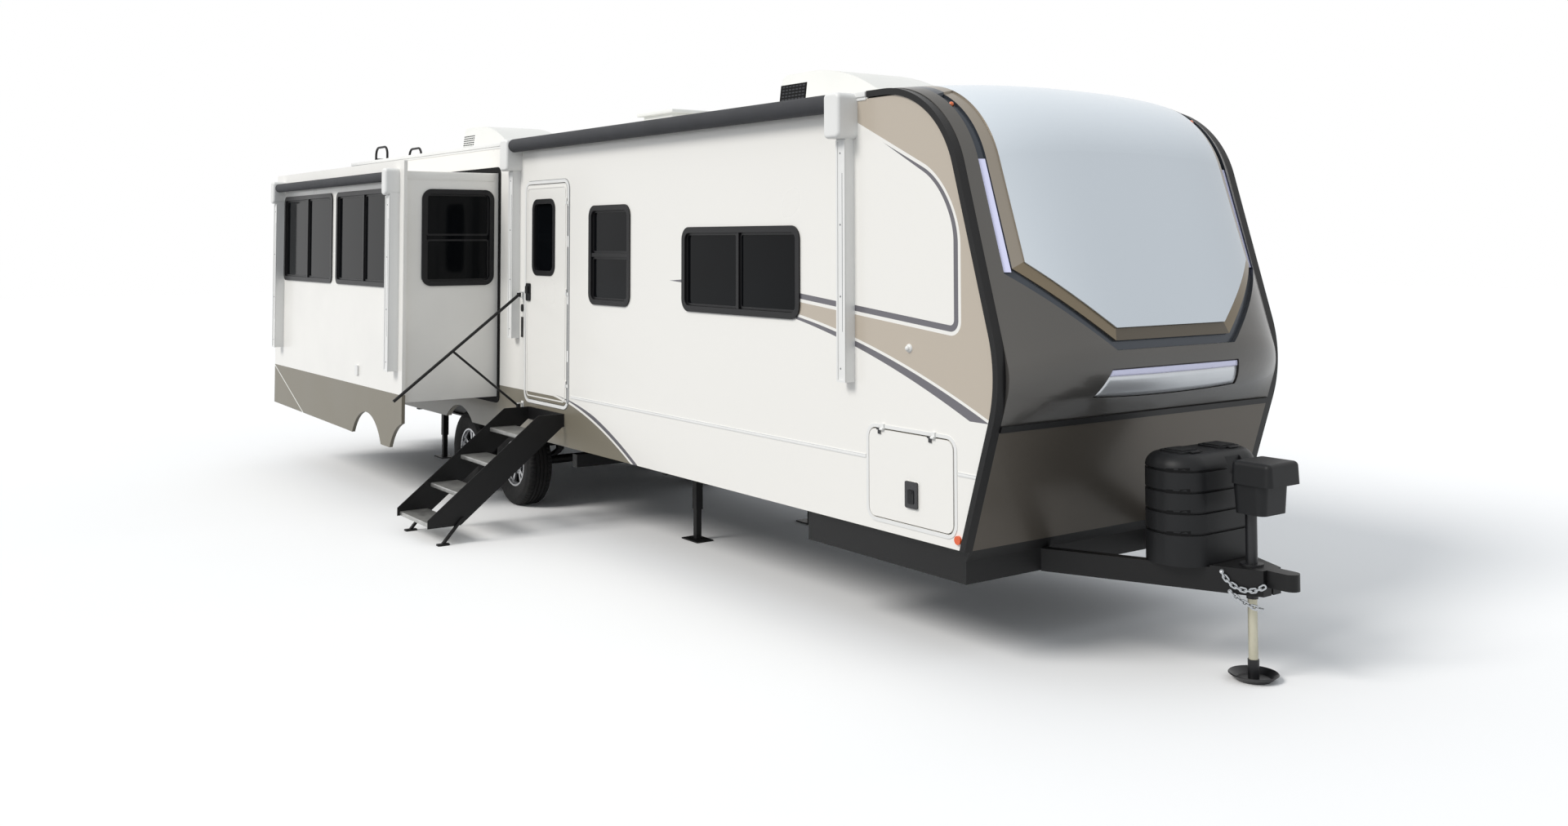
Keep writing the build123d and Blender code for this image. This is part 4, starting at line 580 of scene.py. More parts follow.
# Black rubber of the seals and grille, and the painted shade in the gas cover's
# notches
SEAL_AND_NOTCH_SHADE_BLACK = even_finish("seal_rubber_and_notch_shade", "0c0c0d", 0.7, grain=150.0,
                         depth=0.0008, Specular_IOR_Level=0.15)
LOUVRE_DARK = even_finish("louvre_shade", "3a3b3e", 0.7, Specular_IOR_Level=0.2)
# Grey of the hinge bars and the arm slots, and of the painted shade ring round the
# door frame
HINGE_AND_EDGE_SHADE_GREY = even_finish("hinge_and_edge_shade_grey", "7c7e80", 0.4)
GLIDE = even_finish("glide_plastic", "232324", 0.5)
SKIRT_TAUPE = skirt_paint()
LAMPS = lamp_lenses()
LAMP_AMBER = amber_lens()
STRIP_LIGHT = light_strip()
JACK_PAINT = jack_paint()

FINISHES = {
    "wall_right": SIDE_PAINT, "wall_left": SIDE_PAINT, "wall_rear": BODY_WHITE,
    "entry_door": SIDE_PAINT, "baggage_door_right": SIDE_PAINT,
    "baggage_door_left": SIDE_PAINT, "edge_trim": TRIM_BLACK,
    "front_cap": CAP_PAINT, "front_panel": CHIN_PAINT, "roof": ROOF_SKIN,
    "floor_deck": DECK, "bedroom_platform": DECK, "storage_pan": FRAME_BLACK,
    "window_frames": WINDOW_BLACK, "window_glass": GLASS,
    "door_frame": ARM_WHITE, "entry_door_trim": WINDOW_BLACK,
    "entry_door_glass": GLASS, "hinges": ARM_WHITE, "slide_guides": GLIDE,
    "axles": FRAME_BLACK, "chassis_frame": FRAME_BLACK,
    "underbelly": COVER_BLACK, "tongue_arms": FRAME_BLACK,
    "coupler": FRAME_BLACK, "safety_chains": ZINC, "jack_post": JACK_PAINT,
    "jack_head": COVER_BLACK, "gas_cover": COVER_BLACK,
    "stabilisers": FRAME_BLACK, "bumper": FRAME_BLACK,
    "step_frame": FRAME_BLACK, "step_treads": TREAD, "handrail": FRAME_BLACK,
    "awning_arms": ARM_WHITE, "awning_roll": AWNING_CLOTH,
    "topper_arms": ARM_WHITE, "topper_roll": AWNING_CLOTH,
    "air_conditioners": UNIT_WHITE, "roof_vents": UNIT_WHITE,
    "ladder": FRAME_BLACK, "lamps": LAMPS,
}
for side in SIDES:
    FINISHES["slide_box_" + side] = BODY_WHITE
    FINISHES["slide_face_" + side] = BODY_WHITE
    FINISHES["slide_skirt_" + side] = SKIRT_TAUPE
    FINISHES["slide_windows_" + side] = WINDOW_BLACK
    FINISHES["slide_glass_" + side] = GLASS
for wheel in WHEELS:
    FINISHES["tyre_" + wheel] = RUBBER
    FINISHES["rim_" + wheel] = ALLOY

for node, material in FINISHES.items():
    for slot in NODES[node].material_slots:
        slot.material = material


# Mesh tools

def linked(name, data):
    """An object that is put into the scene."""
    made = bpy.data.objects.new(name, data)
    bpy.context.scene.collection.objects.link(made)
    return made


LEAST_RADIUS = 0.001


def rounded(frame, radius, grow=0.0, steps=6):
    """Outline of a rounded rectangle: rear, front, low and high edges."""
    rear, front, low, high = frame
    rear, front, low, high = rear - grow, front + grow, low - grow, high + grow
    radius = max(radius + grow, LEAST_RADIUS)
    rear, front = rear + radius, front - radius
    low, high = low + radius, high - radius
    turns = ((front, high, 0), (rear, high, 90), (rear, low, 180), (front, low, 270))
    return [(a + radius * cos(radians(turn + 90 * k / steps)),
             b + radius * sin(radians(turn + 90 * k / steps)))
            for a, b, turn in turns for k in range(steps + 1)]


CRISP_ANGLE = 35                           # degrees at which an edge stays crisp


class Shape:
    """A mesh that is put together from parts, then made into one piece. A part
    on a face gets a fit, which turns (a, b, depth) into a point."""

    def __init__(self):
        self.mesh = bmesh.new()

    def row(self, points):
        """New vertices at some points."""
        return [self.mesh.verts.new(point) for point in points]

    def skin(self, rows, around=True, closed=False):
        """Faces from row to row; around joins each row's ends, and closed
        joins the last row to the first."""
        for near, far in zip(rows, rows[1:] + (rows[:1] if closed else [])):
            for i in range(len(near) if around else len(near) - 1):
                j = (i + 1) % len(near)
                self.mesh.faces.new((near[i], near[j], far[j], far[i]))

    def prism(self, near, far):
        """A solid between two like outlines."""
        rows = [self.row(near), self.row(far)]
        self.skin(rows)
        self.mesh.faces.new(rows[0][::-1])
        self.mesh.faces.new(rows[1])

    def hull(self, outline, start, end, fit):
        """An outline of (a, b) pairs, solid from one depth to another."""
        self.prism(*([fit(a, b, depth) for a, b in outline]
                     for depth in (start, end)))

    def pad(self, frame, radius, start, end, fit, grow=0.0):
        """A rounded rectangle, solid from one depth to another."""
        self.hull(rounded(frame, radius, grow), start, end, fit)

    def ring(self, frame, radius, outer, inner, start, end, fit):
        """A border between two growths of a rounded rectangle."""
        corners = ((outer, start), (outer, end), (inner, end), (inner, start))
        rows = [self.row(fit(a, b, depth)
                         for a, b in rounded(frame, radius, grow))
                for grow, depth in corners]
        self.skin(rows, closed=True)

    def block(self, low, high, soften=0.0):
        """A box between two corners of (x, y, height), its edges softened."""
        low, high = Vector(low), Vector(high)
        middle = (low + high) / 2 + Vector((0, 0, GROUND_Z))
        size = [abs(length) for length in high - low]
        made = bmesh.ops.create_cube(
            self.mesh,
            matrix=Matrix.Translation(middle) @ Matrix.Diagonal((*size, 1.0)))
        if soften:
            edges = {e for v in made["verts"] for e in v.link_edges}
            bmesh.ops.bevel(self.mesh, geom=list(edges), offset=soften,
                            segments=3, affect="EDGES", profile=0.5)

    def dome(self, centre, axis, radius, rise, sides=24, rings=4):
        """A round button that swells along an axis."""
        axis = Vector(axis).normalized()
        side = axis.orthogonal().normalized()
        up = axis.cross(side)
        turns = [2 * pi * k / sides for k in range(sides)]
        rows = []
        for ring in range(rings):
            angle = pi / 2 * ring / rings
            middle = Vector(centre) + axis * rise * sin(angle)
            reach = radius * cos(angle)
            rows.append(self.row(
                middle + (side * cos(turn) + up * sin(turn)) * reach
                for turn in turns))
        self.skin(rows)
        tip = self.mesh.verts.new(Vector(centre) + axis * rise)
        for k in range(sides):
            self.mesh.faces.new((rows[-1][k], rows[-1][(k + 1) % sides], tip))
        self.mesh.faces.new(rows[0][::-1])

    def end(self, name, material):
        """Ends the mesh as an object of one material."""
        data = bpy.data.meshes.new(name)
        self.mesh.to_mesh(data)
        self.mesh.free()
        data.materials.append(material)
        return linked(name, data)

    def piece(self, name, material, body, slot, smooth=True):
        """Ends the mesh and hangs it on its body."""
        bmesh.ops.recalc_face_normals(self.mesh, faces=self.mesh.faces)
        made = self.end(name, material)
        if smooth:
            made.data.shade_smooth()
            edge = made.modifiers.new("crisp_edges", "EDGE_SPLIT")
            edge.split_angle = radians(CRISP_ANGLE)
        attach(made, body)
        return made


def upright(side, face):
    """A fit of (x, height, depth) on an upright face to one side."""
    sign = SIDES[side]
    return lambda x, height, depth: Vector(
        (x, sign * (face + depth), height + GROUND_Z))


# Details of the side walls

SEAM_LOW, SEAM_HIGH, SEAM_LIP = 1.066, 1.090, 0.004
SEAM_PROFILE = (                           # height and depth
    (SEAM_LOW, 0.0), (SEAM_LOW, 0.003), (SEAM_LOW + SEAM_LIP, 0.0045),
    (SEAM_HIGH - 3 * SEAM_LIP, 0.0045), (SEAM_HIGH - 2 * SEAM_LIP, 0.003),
    (SEAM_HIGH - SEAM_LIP, 0.005), (SEAM_HIGH, 0.004), (SEAM_HIGH, 0.0))
SEAM_RUNS = {"right": ((-5.80, -2.005), (-1.215, -1.045)),
             "left": ((-7.20, -2.005), (-1.215, -1.045))}
RIVET_PITCH, RIVET_HEIGHT, RIVET_DEPTH = 0.152, SEAM_LOW + 0.011, 0.0034
RIVET_RADIUS, RIVET_RISE = 0.0035, 0.0015
RIVET_FACETS = (10, 2)                     # sides and rings of its dome


def seam_trims():
    """The aluminium strip that covers the joint of the side skin, riveted."""
    for side, sign in SIDES.items():
        strip = Shape()
        fit = upright(side, WALL_FACE)
        for start, end in SEAM_RUNS[side]:
            strip.prism(*([fit(x, height, depth - SUNK)
                           for height, depth in SEAM_PROFILE]
                          for x in (start, end)))
            count = int((end - start) / RIVET_PITCH)
            for k in range(count):
                x = start + (k + 0.5) * (end - start) / count
                strip.dome(fit(x, RIVET_HEIGHT, RIVET_DEPTH), (0, sign, 0),
                           RIVET_RADIUS, RIVET_RISE, *RIVET_FACETS)
        strip.piece("seam_trim_" + side, ARM_WHITE, "trailer", "body_white")


WALL_CAP = (-1.612, 1.735)                 # x and height
WALL_CAP_TIERS = ((-SUNK, 0.026, 0.018),   # depth, radius and rise
                  (0.012, 0.01612, 0.016))


def wall_fittings():
    """Small white round caps on the nose of each side wall."""
    for side, sign in SIDES.items():
        button = Shape()
        fit = upright(side, WALL_FACE)
        for depth, radius, rise in WALL_CAP_TIERS:
            button.dome(fit(*WALL_CAP, depth), (0, sign, 0), radius, rise)
        button.piece("wall_cap_" + side, ARM_WHITE, "trailer", "body_white")


# Details of the front cap

CAP_TREE = BVHTree.FromPolygons(
    [v.co for v in NODES["front_cap"].data.vertices],
    [p.vertices for p in NODES["front_cap"].data.polygons])


def on_cap(y, height, proud=0.0):
    """The point of the front cap straight behind a place ahead of it."""
    found, normal, _, _ = CAP_TREE.ray_cast(
        Vector((1.0, y, height + GROUND_Z)), Vector((-1, 0, 0)))
    return found + normal * proud


AMBER_PLACE = (1.070, 3.118)               # y and height
AMBER_OUT = Vector((1.0, 0.0, 0.55))
AMBER_DEEP, AMBER_PROUD = 0.004, 0.012     # seats of the housing and the lamp
HOUSING_DOME = (0.026, 0.022, 24, 5)       # radius, rise, sides and rings
AMBER_DOME = (0.015, 0.014, 20, 5)


def cap_lamps():
    """Small amber lamps in black housings at the top of the channels."""
    for side, sign in SIDES.items():
        place = on_cap(sign * AMBER_PLACE[0], AMBER_PLACE[1])
        housing = Shape()
        housing.dome(place - AMBER_OUT * AMBER_DEEP, AMBER_OUT, *HOUSING_DOME)
        housing.piece("amber_housing_" + side, TRIM_BLACK, "trailer",
                      "black_trim")
        lamp = Shape()
        lamp.dome(place + AMBER_OUT.normalized() * AMBER_PROUD, AMBER_OUT,
                  *AMBER_DOME)
        lamp.piece("amber_lamp_" + side, LAMP_AMBER, "trailer", "lamp_plastic")


PLATE_TOP, PLATE_CORNER, PLATE_FOOT = (0.546, 1.641), (0.611, 1.497), 1.477
PLATE_LIGHT_HEIGHT = 1.611
PLATE_PROUD, PLATE_LIGHT_PROUD = 0.0015, 0.007
PLATE_THICKNESS, PLATE_CROWN = 0.004, 0.001
PLATE_ROWS, PLATE_HALF_STEPS = 5, 20       # rows, and steps to each side


def plate_row(share):
    """Half width, height and sag of a row of the plate, from foot to top."""
    reach = PLATE_CORNER[0] + (PLATE_TOP[0] - PLATE_CORNER[0]) * share
    level = PLATE_CORNER[1] + (PLATE_TOP[1] - PLATE_CORNER[1]) * share
    return reach, level, (PLATE_CORNER[1] - PLATE_FOOT) * (1 - share)


def cap_plate():
    """The silver plate in the cap's recess, under its lit bar."""
    foot, top = PLATE_CORNER[1], PLATE_TOP[1]
    lit = (PLATE_LIGHT_HEIGHT - foot) / (top - foot)
    pieces = (("cap_plate", PLATE_SILVER, 0.0, lit, PLATE_PROUD, "alloy"),
              ("cap_plate_light", STRIP_LIGHT, lit, 1.0, PLATE_LIGHT_PROUD,
               "lamp_plastic"))
    across = [k / PLATE_HALF_STEPS - 1
              for k in range(2 * PLATE_HALF_STEPS + 1)]
    for name, material, start, end, proud, slot in pieces:
        plate = Shape()
        rows = []
        for level in range(PLATE_ROWS):
            reach, height, sag = plate_row(
                start + (end - start) * level / (PLATE_ROWS - 1))
            out = proud + PLATE_CROWN * (0 < level < PLATE_ROWS - 1)
            rows.append(plate.row(
                on_cap(reach * share, height - sag * (1 - share ** 2), out)
                for share in across))
        plate.skin(rows, around=False)
        made = plate.piece(name, material, "trailer", slot)
        thick = made.modifiers.new("thickness", "SOLIDIFY")
        thick.thickness, thick.offset = PLATE_THICKNESS, -1.0


# Details of the slide-outs, the roof's edge and the doors

# A border is two growths of a rounded frame and two depths
SLIDE_BOX, SLIDE_BOX_RADIUS = (-10.955, -7.240, 0.955, 2.960), 0.01
SLIDE_FACE = 2.114
SLIDE_SEAL = (0.058, 0.007, -SUNK, 0.0045)
STRIP_NEAR, STRIP_FAR = 1.260, 2.080       # |y| of the strip on the front end
STRIP_LOW, STRIP_HIGH, STRIP_PROUD = 2.886, 2.950, 0.003
STRIP_RIVETS, STRIP_RIVET_INSET = 6, 0.07
STRIP_RIVET_HEIGHT, STRIP_RIVET_DEPTH = STRIP_LOW + 0.02, STRIP_PROUD - 0.0002
STRIP_RIVET_RADIUS, STRIP_RIVET_RISE = 0.004, 0.002


def on_slide_end(side):
    """A fit of (y, height, depth) on a slide-out's front end."""
    sign = SIDES[side]
    return lambda y, height, depth: Vector(
        (SLIDE_BOX[1] + depth, sign * y, height + GROUND_Z))


def slide_seals():
    """Black rubber flaps on the walls round the slide-outs, and the riveted
    strip on the top of each one's front end."""
    for side, sign in SIDES.items():
        seal = Shape()
        seal.ring(SLIDE_BOX, SLIDE_BOX_RADIUS, *SLIDE_SEAL,
                  upright(side, WALL_FACE))
        seal.piece("slide_seal_" + side, SEAL_AND_NOTCH_SHADE_BLACK, "trailer", "black_trim")
        strip = Shape()
        front = SLIDE_BOX[1]
        strip.block((front - SUNK, sign * STRIP_NEAR, STRIP_LOW),
                    (front + STRIP_PROUD, sign * STRIP_FAR, STRIP_HIGH), SUNK)
        run = STRIP_FAR - STRIP_NEAR - 2 * STRIP_RIVET_INSET
        for k in range(STRIP_RIVETS):
            y = STRIP_NEAR + STRIP_RIVET_INSET + k * run / (STRIP_RIVETS - 1)
            place = on_slide_end(side)(y, STRIP_RIVET_HEIGHT, STRIP_RIVET_DEPTH)
            strip.dome(place, (1, 0, 0), STRIP_RIVET_RADIUS, STRIP_RIVET_RISE,
                       *RIVET_FACETS)
        strip.piece("slide_strip_" + side, BODY_WHITE, "slide_out_" + side,
                    "body_white")


GUTTER_X = (-11.255, NOSE_TRIM_END - 0.01)
GUTTER_STEPS = ((3.206, 3.238, 0.013),     # low, high and depth
                (3.186, 3.206, 0.006))
GUTTER_SUNK, SOFT_EDGE = 0.002, 0.003


def roof_gutters():
    """White mouldings that end the roof along each side wall."""
    for side, sign in SIDES.items():
        gutter = Shape()
        for low, high, depth in GUTTER_STEPS:
            gutter.block((GUTTER_X[0], sign * (WALL_FACE - GUTTER_SUNK), low),
                         (GUTTER_X[1], sign * (WALL_FACE + depth), high),
                         SOFT_EDGE)
        gutter.piece("roof_gutter_" + side, ARM_WHITE, "trailer",
                     "awning_white")


DOOR, DOOR_RADIUS, DOOR_FACE = (-6.663, -5.833, 0.967, 2.861), 0.09, 0.008
RIDGE = (-0.055, -0.065, DOOR_FACE - SUNK, DOOR_FACE + 0.004)
# A grey ring of painted shade round the outer edge of the door frame
FRAME_EDGE_SHADE = (0.005, 0.0005, -SUNK, 0.0025)
HINGE_BARS = ((1.02, 1.36), (1.45, 1.83), (1.92, 2.30), (2.39, 2.64))
HINGE_BAR_X, HINGE_BAR_RADIUS, HINGE_BAR_PROUD = (-5.8515, -5.8405), 0.003, 0.003
# Edges and corner radii of the two fittings beside the door
DOOR_FITTINGS = (((-6.735, -6.697, 1.735, 1.800), 0.019),
                 ((-6.728, -6.700, 1.515, 1.690), 0.004))
DOOR_FITTINGS_PROUD = 0.009


def door_details():
    """Ridge pressed round the leaf, grey hinge bars, a grey ring of painted shade
    round the frame's outer edge, and the small oval and upright fittings beside the
    door."""
    fit = upright("right", WALL_FACE)
    ridge, bead, bars, fittings = Shape(), Shape(), Shape(), Shape()
    ridge.ring(DOOR, DOOR_RADIUS, *RIDGE, fit)
    ridge.piece("door_ridge", BODY_WHITE, "entry_door_leaf", "body_white")
    # Painted shade: a grey line round the frame's outer edge
    bead.ring(DOOR, DOOR_RADIUS, *FRAME_EDGE_SHADE, fit)
    bead.piece("door_edge_shade", HINGE_AND_EDGE_SHADE_GREY, "trailer", "body_white")
    for low, high in HINGE_BARS:
        bars.pad((*HINGE_BAR_X, low, high), HINGE_BAR_RADIUS,
                 DOOR_FACE - SUNK, DOOR_FACE + HINGE_BAR_PROUD, fit)
    bars.piece("door_hinge_bars", HINGE_AND_EDGE_SHADE_GREY, "trailer", "alloy")
    for frame, radius in DOOR_FITTINGS:
        fittings.pad(frame, radius, -SUNK, DOOR_FITTINGS_PROUD, fit)
    fittings.piece("door_side_fittings", TRIM_BLACK, "trailer", "black_trim")


BAGGAGE, BAGGAGE_RADIUS = (-1.975, -1.243, 0.737, 1.257), 0.06
BAGGAGE_FRAME = (0.022, 0.001, -SUNK, 0.004)
# The latch's paddle and its raised grip: edges, corner radius and depths
PADDLE = ((-1.610, -1.558, 0.862, 0.942), 0.01, 0.0195, 0.0235)
GRIP = ((-1.600, -1.568, 0.922, 0.937), 0.004, 0.023, 0.026)


def baggage_details():
    """White frames round the baggage doors, and the latches' paddles."""
    for side in SIDES:
        fit = upright(side, WALL_FACE)
        frame, paddle = Shape(), Shape()
        frame.ring(BAGGAGE, BAGGAGE_RADIUS, *BAGGAGE_FRAME, fit)
        frame.piece("baggage_frame_" + side, ARM_WHITE, "trailer",
                    "awning_white")
        paddle.pad(*PADDLE, fit)
        paddle.pad(*GRIP, fit)
        paddle.piece("baggage_paddle_" + side, COVER_BLACK,
                     "baggage_leaf_" + side, "window_black")


# Edges, corner radius and depths
SOCKET_COVER = ((-8.365, -8.295, 1.115, 1.205), 0.008, -SUNK, 0.016)


def socket_cover():
    """The white socket cover on the door-side slide-out."""
    cover = Shape()
    cover.pad(*SOCKET_COVER, upright("right", SLIDE_FACE))
    cover.piece("slide_socket_cover", ARM_WHITE, "slide_out_right",
                "body_white")


# Window sashes: the panes lie side by side, or one above the other

WINDOW_INSET, PANE_GAP_HALF = 0.042, 0.015
SASH_RADIUS, SASH_BORDER = 0.03, (-0.001, -0.017)
SASH_BACK, SASH_FACES = -0.0145, (-0.005, -0.008)
WALL_WINDOWS = {
    "right": (((-4.068, -2.654, 1.848, 2.446), "across"),
              ((-5.484, -4.824, 1.845, 2.630), "up")),
    "left": (((-4.068, -2.654, 1.848, 2.446), "across"),
             ((-6.500, -5.900, 1.985, 2.560), "up")),
}
SLIDE_WINDOWS = ((-10.690, -9.100, 1.940, 2.820), (-8.980, -7.440, 1.940, 2.820))
END_WINDOW = (1.262, 1.935, 1.955, 2.807)  # |y| and heights, in the front end


def halves(frame, way):
    """The two panes of a sliding or a two-part window."""
    rear, front, low, high = frame
    if way == "across":
        middle = (rear + front) / 2
        return ((rear, middle - PANE_GAP_HALF, low, high),
                (middle + PANE_GAP_HALF, front, low, high))
    middle = (low + high) / 2
    return ((rear, front, low, middle - PANE_GAP_HALF),
            (rear, front, middle + PANE_GAP_HALF, high))


def sash(shape, frame, way, fit):
    """A slim sash round each pane, one set further out than the other."""
    rear, front, low, high = frame
    inner = (rear + WINDOW_INSET, front - WINDOW_INSET,
             low + WINDOW_INSET, high - WINDOW_INSET)
    for pane, face in zip(halves(inner, way), SASH_FACES):
        shape.ring(pane, SASH_RADIUS, *SASH_BORDER, SASH_BACK, face, fit)


def window_sashes():
    """Black sashes in the walls' windows and in the slide-outs'."""
    for side in SIDES:
        body, slide = Shape(), Shape()
        for frame, way in WALL_WINDOWS[side]:
            sash(body, frame, way, upright(side, WALL_FACE))
        body.piece("window_sashes_" + side, WINDOW_BLACK, "trailer",
                   "window_black")
        for frame in SLIDE_WINDOWS:
            sash(slide, frame, "across", upright(side, SLIDE_FACE))
        sash(slide, END_WINDOW, "up", on_slide_end(side))
        slide.piece("slide_sashes_" + side, WINDOW_BLACK, "slide_out_" + side,
                    "window_black")


# Details of the awnings and the roof

AWNINGS = (                                # name, face, depth, body and arms
    ("awning", WALL_FACE, 0.070, "trailer",
     ((-6.862, -6.778, 1.503, 2.955), (-2.190, -2.106, 1.503, 2.955))),
    ("topper", SLIDE_FACE, 0.086, "slide_out_right",
     ((-10.800, -10.700, 1.225, 2.745), (-7.400, -7.300, 1.225, 2.745))))
ARM_RADIUS, ARM_RIM, ARM_RIM_PROUD = 0.004, 0.013, 0.006
ARM_SLOT_X, ARM_SLOT_ENDS = (0.009, 0.013), (0.3, 0.2)
ARM_SLOT_RADIUS, ARM_SLOT_PROUD = 0.001, 0.0006
BOLTS, BOLT_INSET, BOLT_X, BOLT_SUNK = 4, 0.08, -0.008, 0.0005
BOLT_DOME = (0.0065, 0.004, 10, 3)         # radius, rise, sides and rings


def arm_channels():
    """Raised edges along the awning arms, with a grey slot and bolt heads."""
    for name, face, depth, body, arms in AWNINGS:
        rims, slots = Shape(), Shape()
        fit = upright("right", face)
        for rear, front, low, high in arms:
            middle = (rear + front) / 2
            rims.ring((rear, front, low, high), ARM_RADIUS, 0.0, -ARM_RIM,
                      depth - SUNK, depth + ARM_RIM_PROUD, fit)
            slots.pad((middle + ARM_SLOT_X[0], middle + ARM_SLOT_X[1],
                       low + ARM_SLOT_ENDS[0], high - ARM_SLOT_ENDS[1]),
                      ARM_SLOT_RADIUS, depth - SUNK, depth + ARM_SLOT_PROUD, fit)
            pitch = (high - low - 2 * BOLT_INSET) / (BOLTS - 1)
            for k in range(BOLTS):
                place = fit(middle + BOLT_X, low + BOLT_INSET + k * pitch,
                            depth - BOLT_SUNK)
                slots.dome(place, (0, SIDES["right"], 0), *BOLT_DOME)
        rims.piece(name + "_arm_rims", ARM_WHITE, body, "awning_white")
        slots.piece(name + "_arm_slots", HINGE_AND_EDGE_SHADE_GREY, body, "awning_white")


ROOF_CROWN_HEIGHT = 3.3003
AIR_UNITS = (-3.525, -9.590)
AIR_LENGTH, AIR_WIDTH, AIR_TAPER = 1.25, 0.72, 0.1228
LOUVRES = 7                                # in a row, and rows
LOUVRE_START, LOUVRE_PITCH = (0.085, 0.055), (0.042, 0.024)  # along and up
LOUVRE_SIZE, LOUVRE_DEPTHS = (0.030, 0.011), (-0.004, 0.0015)
GRILLE_RUNS, GRILLE_RISES = (0.06, 0.39), (0.040, 0.222)     # along and up
GRILLE_DEPTHS = (-0.003, 0.0009)
VENT_LIDS = (                              # x, y, length, width and height
    (-5.210, -0.550, 0.56, 0.48, 3.362), (-8.000, 0.300, 0.52, 0.52, 3.408))
VENT_LID_TALL, VENT_LID_EDGE = 0.03, 0.008


def flank(rise, depth):
    """Distance of an air conditioner's leaning flank from its middle."""
    return AIR_WIDTH / 2 - rise * AIR_TAPER + depth


def air_louvres():
    """Louvre slots in the flanks of the air conditioners."""
    slots = Shape()
    for unit in AIR_UNITS:
        for sign in SIDES.values():
            for row in range(LOUVRES):
                rise = LOUVRE_START[1] + LOUVRE_PITCH[1] * row
                low = ROOF_CROWN_HEIGHT + rise
                high = low + LOUVRE_SIZE[1]
                near, far = (sign * flank(rise, depth)
                             for depth in LOUVRE_DEPTHS)
                for column in range(LOUVRES):
                    rear = (unit - AIR_LENGTH / 2 + LOUVRE_START[0]
                            + LOUVRE_PITCH[0] * column)
                    slots.block((rear, near, low),
                                (rear + LOUVRE_SIZE[0], far, high))
    slots.piece("air_louvres", LOUVRE_DARK, "trailer", "unit_white",
                smooth=False)


def air_grille():
    """Black grilles in the flanks of the front air conditioner."""
    grille = Shape()
    rear, front = (AIR_UNITS[0] - AIR_LENGTH / 2 + run for run in GRILLE_RUNS)
    low, high = GRILLE_RISES
    corners = ((rear, low), (front, low), (front, high), (rear, high))
    for sign in SIDES.values():
        grille.prism(*([(x, sign * flank(rise, depth),
                         ROOF_CROWN_HEIGHT + rise + GROUND_Z)
                        for x, rise in corners] for depth in GRILLE_DEPTHS))
    grille.piece("air_grille", SEAL_AND_NOTCH_SHADE_BLACK, "trailer", "unit_white",
                 smooth=False)


def vent_lids():
    """Softened lids on the roof vents."""
    lids = Shape()
    for x, y, long, wide, height in VENT_LIDS:
        lids.block((x - long / 2, y - wide / 2, height),
                   (x + long / 2, y + wide / 2, height + VENT_LID_TALL),
                   VENT_LID_EDGE)
    lids.piece("vent_lids", UNIT_WHITE, "trailer", "unit_white")


# Wheels

TRACK, DISC_FACE = 1.020, 0.066
NUTS, NUT_CIRCLE, NUT_RADIUS, NUT_LENGTH = 6, 0.0755, 0.0105, 0.020

# The tyre's section: distance from its middle plane, and radius
BEAD, TREAD_EDGE, TREAD_TOP = (0.095, 0.200), (0.0755, 0.367), 0.367
SIDEWALL = (BEAD, (0.1165, 0.2755), (0.1085, TREAD_FOOT))
SHOULDER = ((0.1085, TREAD_FOOT), (0.0995, 0.353), TREAD_EDGE)
SIDEWALL_STEPS, SHOULDER_STEPS = 12, 5
RIB_STEPS, RIB_PROUD = (2, 3, 9), 0.0012   # steps of the side wall's ribs
GROOVES = (0.018, 0.052)                   # each one's distance from the middle
GROOVE_HALF, GROOVE_LIP, GROOVE_DEPTH = 0.0045, 0.0063, 0.008
SLOT_DEPTH, SLOT_FOOT = 0.007, 2           # shoulder step where the slots end
TYRE_STEPS, SLOT_EVERY = 180, 3


def bent(points, share):
    """A point on the curve through three points."""
    weights = ((1 - share) * (1 - 2 * share), 4 * share * (1 - share),
               share * (2 * share - 1))
    return tuple(sum(w * point[i] for w, point in zip(weights, points))
                 for i in (0, 1))


def tyre_profile():
    """Across, radius and whether a cross slot cuts it, from the bead to the
    middle of the tread."""
    rows = []
    for k in range(SIDEWALL_STEPS + 1):
        across, radius = bent(SIDEWALL, k / SIDEWALL_STEPS)
        rows.append((across + RIB_PROUD * (k in RIB_STEPS), radius, False))
    for k in range(1, SHOULDER_STEPS + 1):
        rows.append((*bent(SHOULDER, k / SHOULDER_STEPS), k > SLOT_FOOT))
    for middle in reversed(GROOVES):
        for offset, depth in ((GROOVE_LIP, 0.0), (GROOVE_HALF, GROOVE_DEPTH),
                              (-GROOVE_HALF, GROOVE_DEPTH), (-GROOVE_LIP, 0.0)):
            outer = middle == GROOVES[1] and offset == GROOVE_LIP
            rows.append((middle + offset, TREAD_TOP - depth, outer))
    return rows


def tyres():
    """Tyres with grooves round the tread and slots across its shoulders."""
    half = tyre_profile()
    profile = half + [(-across, radius, cut)
                      for across, radius, cut in half[::-1]]
    for wheel, (side, x) in WHEELS.items():
        tyre = Shape()
        fit = upright(side, TRACK)
        rings = []
        for step in range(TYRE_STEPS):
            turn = 2 * pi * step / TYRE_STEPS
            slot = SLOT_DEPTH * (step % SLOT_EVERY == 0)
            section = [(across, radius - slot * cut)
                       for across, radius, cut in profile]
            rings.append(tyre.row(
                fit(x + radius * cos(turn), AXLE_HEIGHT + radius * sin(turn),
                    SIDES[side] * across) for across, radius in section))
        tyre.skin(rings, closed=True)
        made = tyre.piece("tyre_" + wheel + "_tread", RUBBER, "wheel_" + wheel,
                          "tyre_rubber")
        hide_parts("tyre_" + wheel)


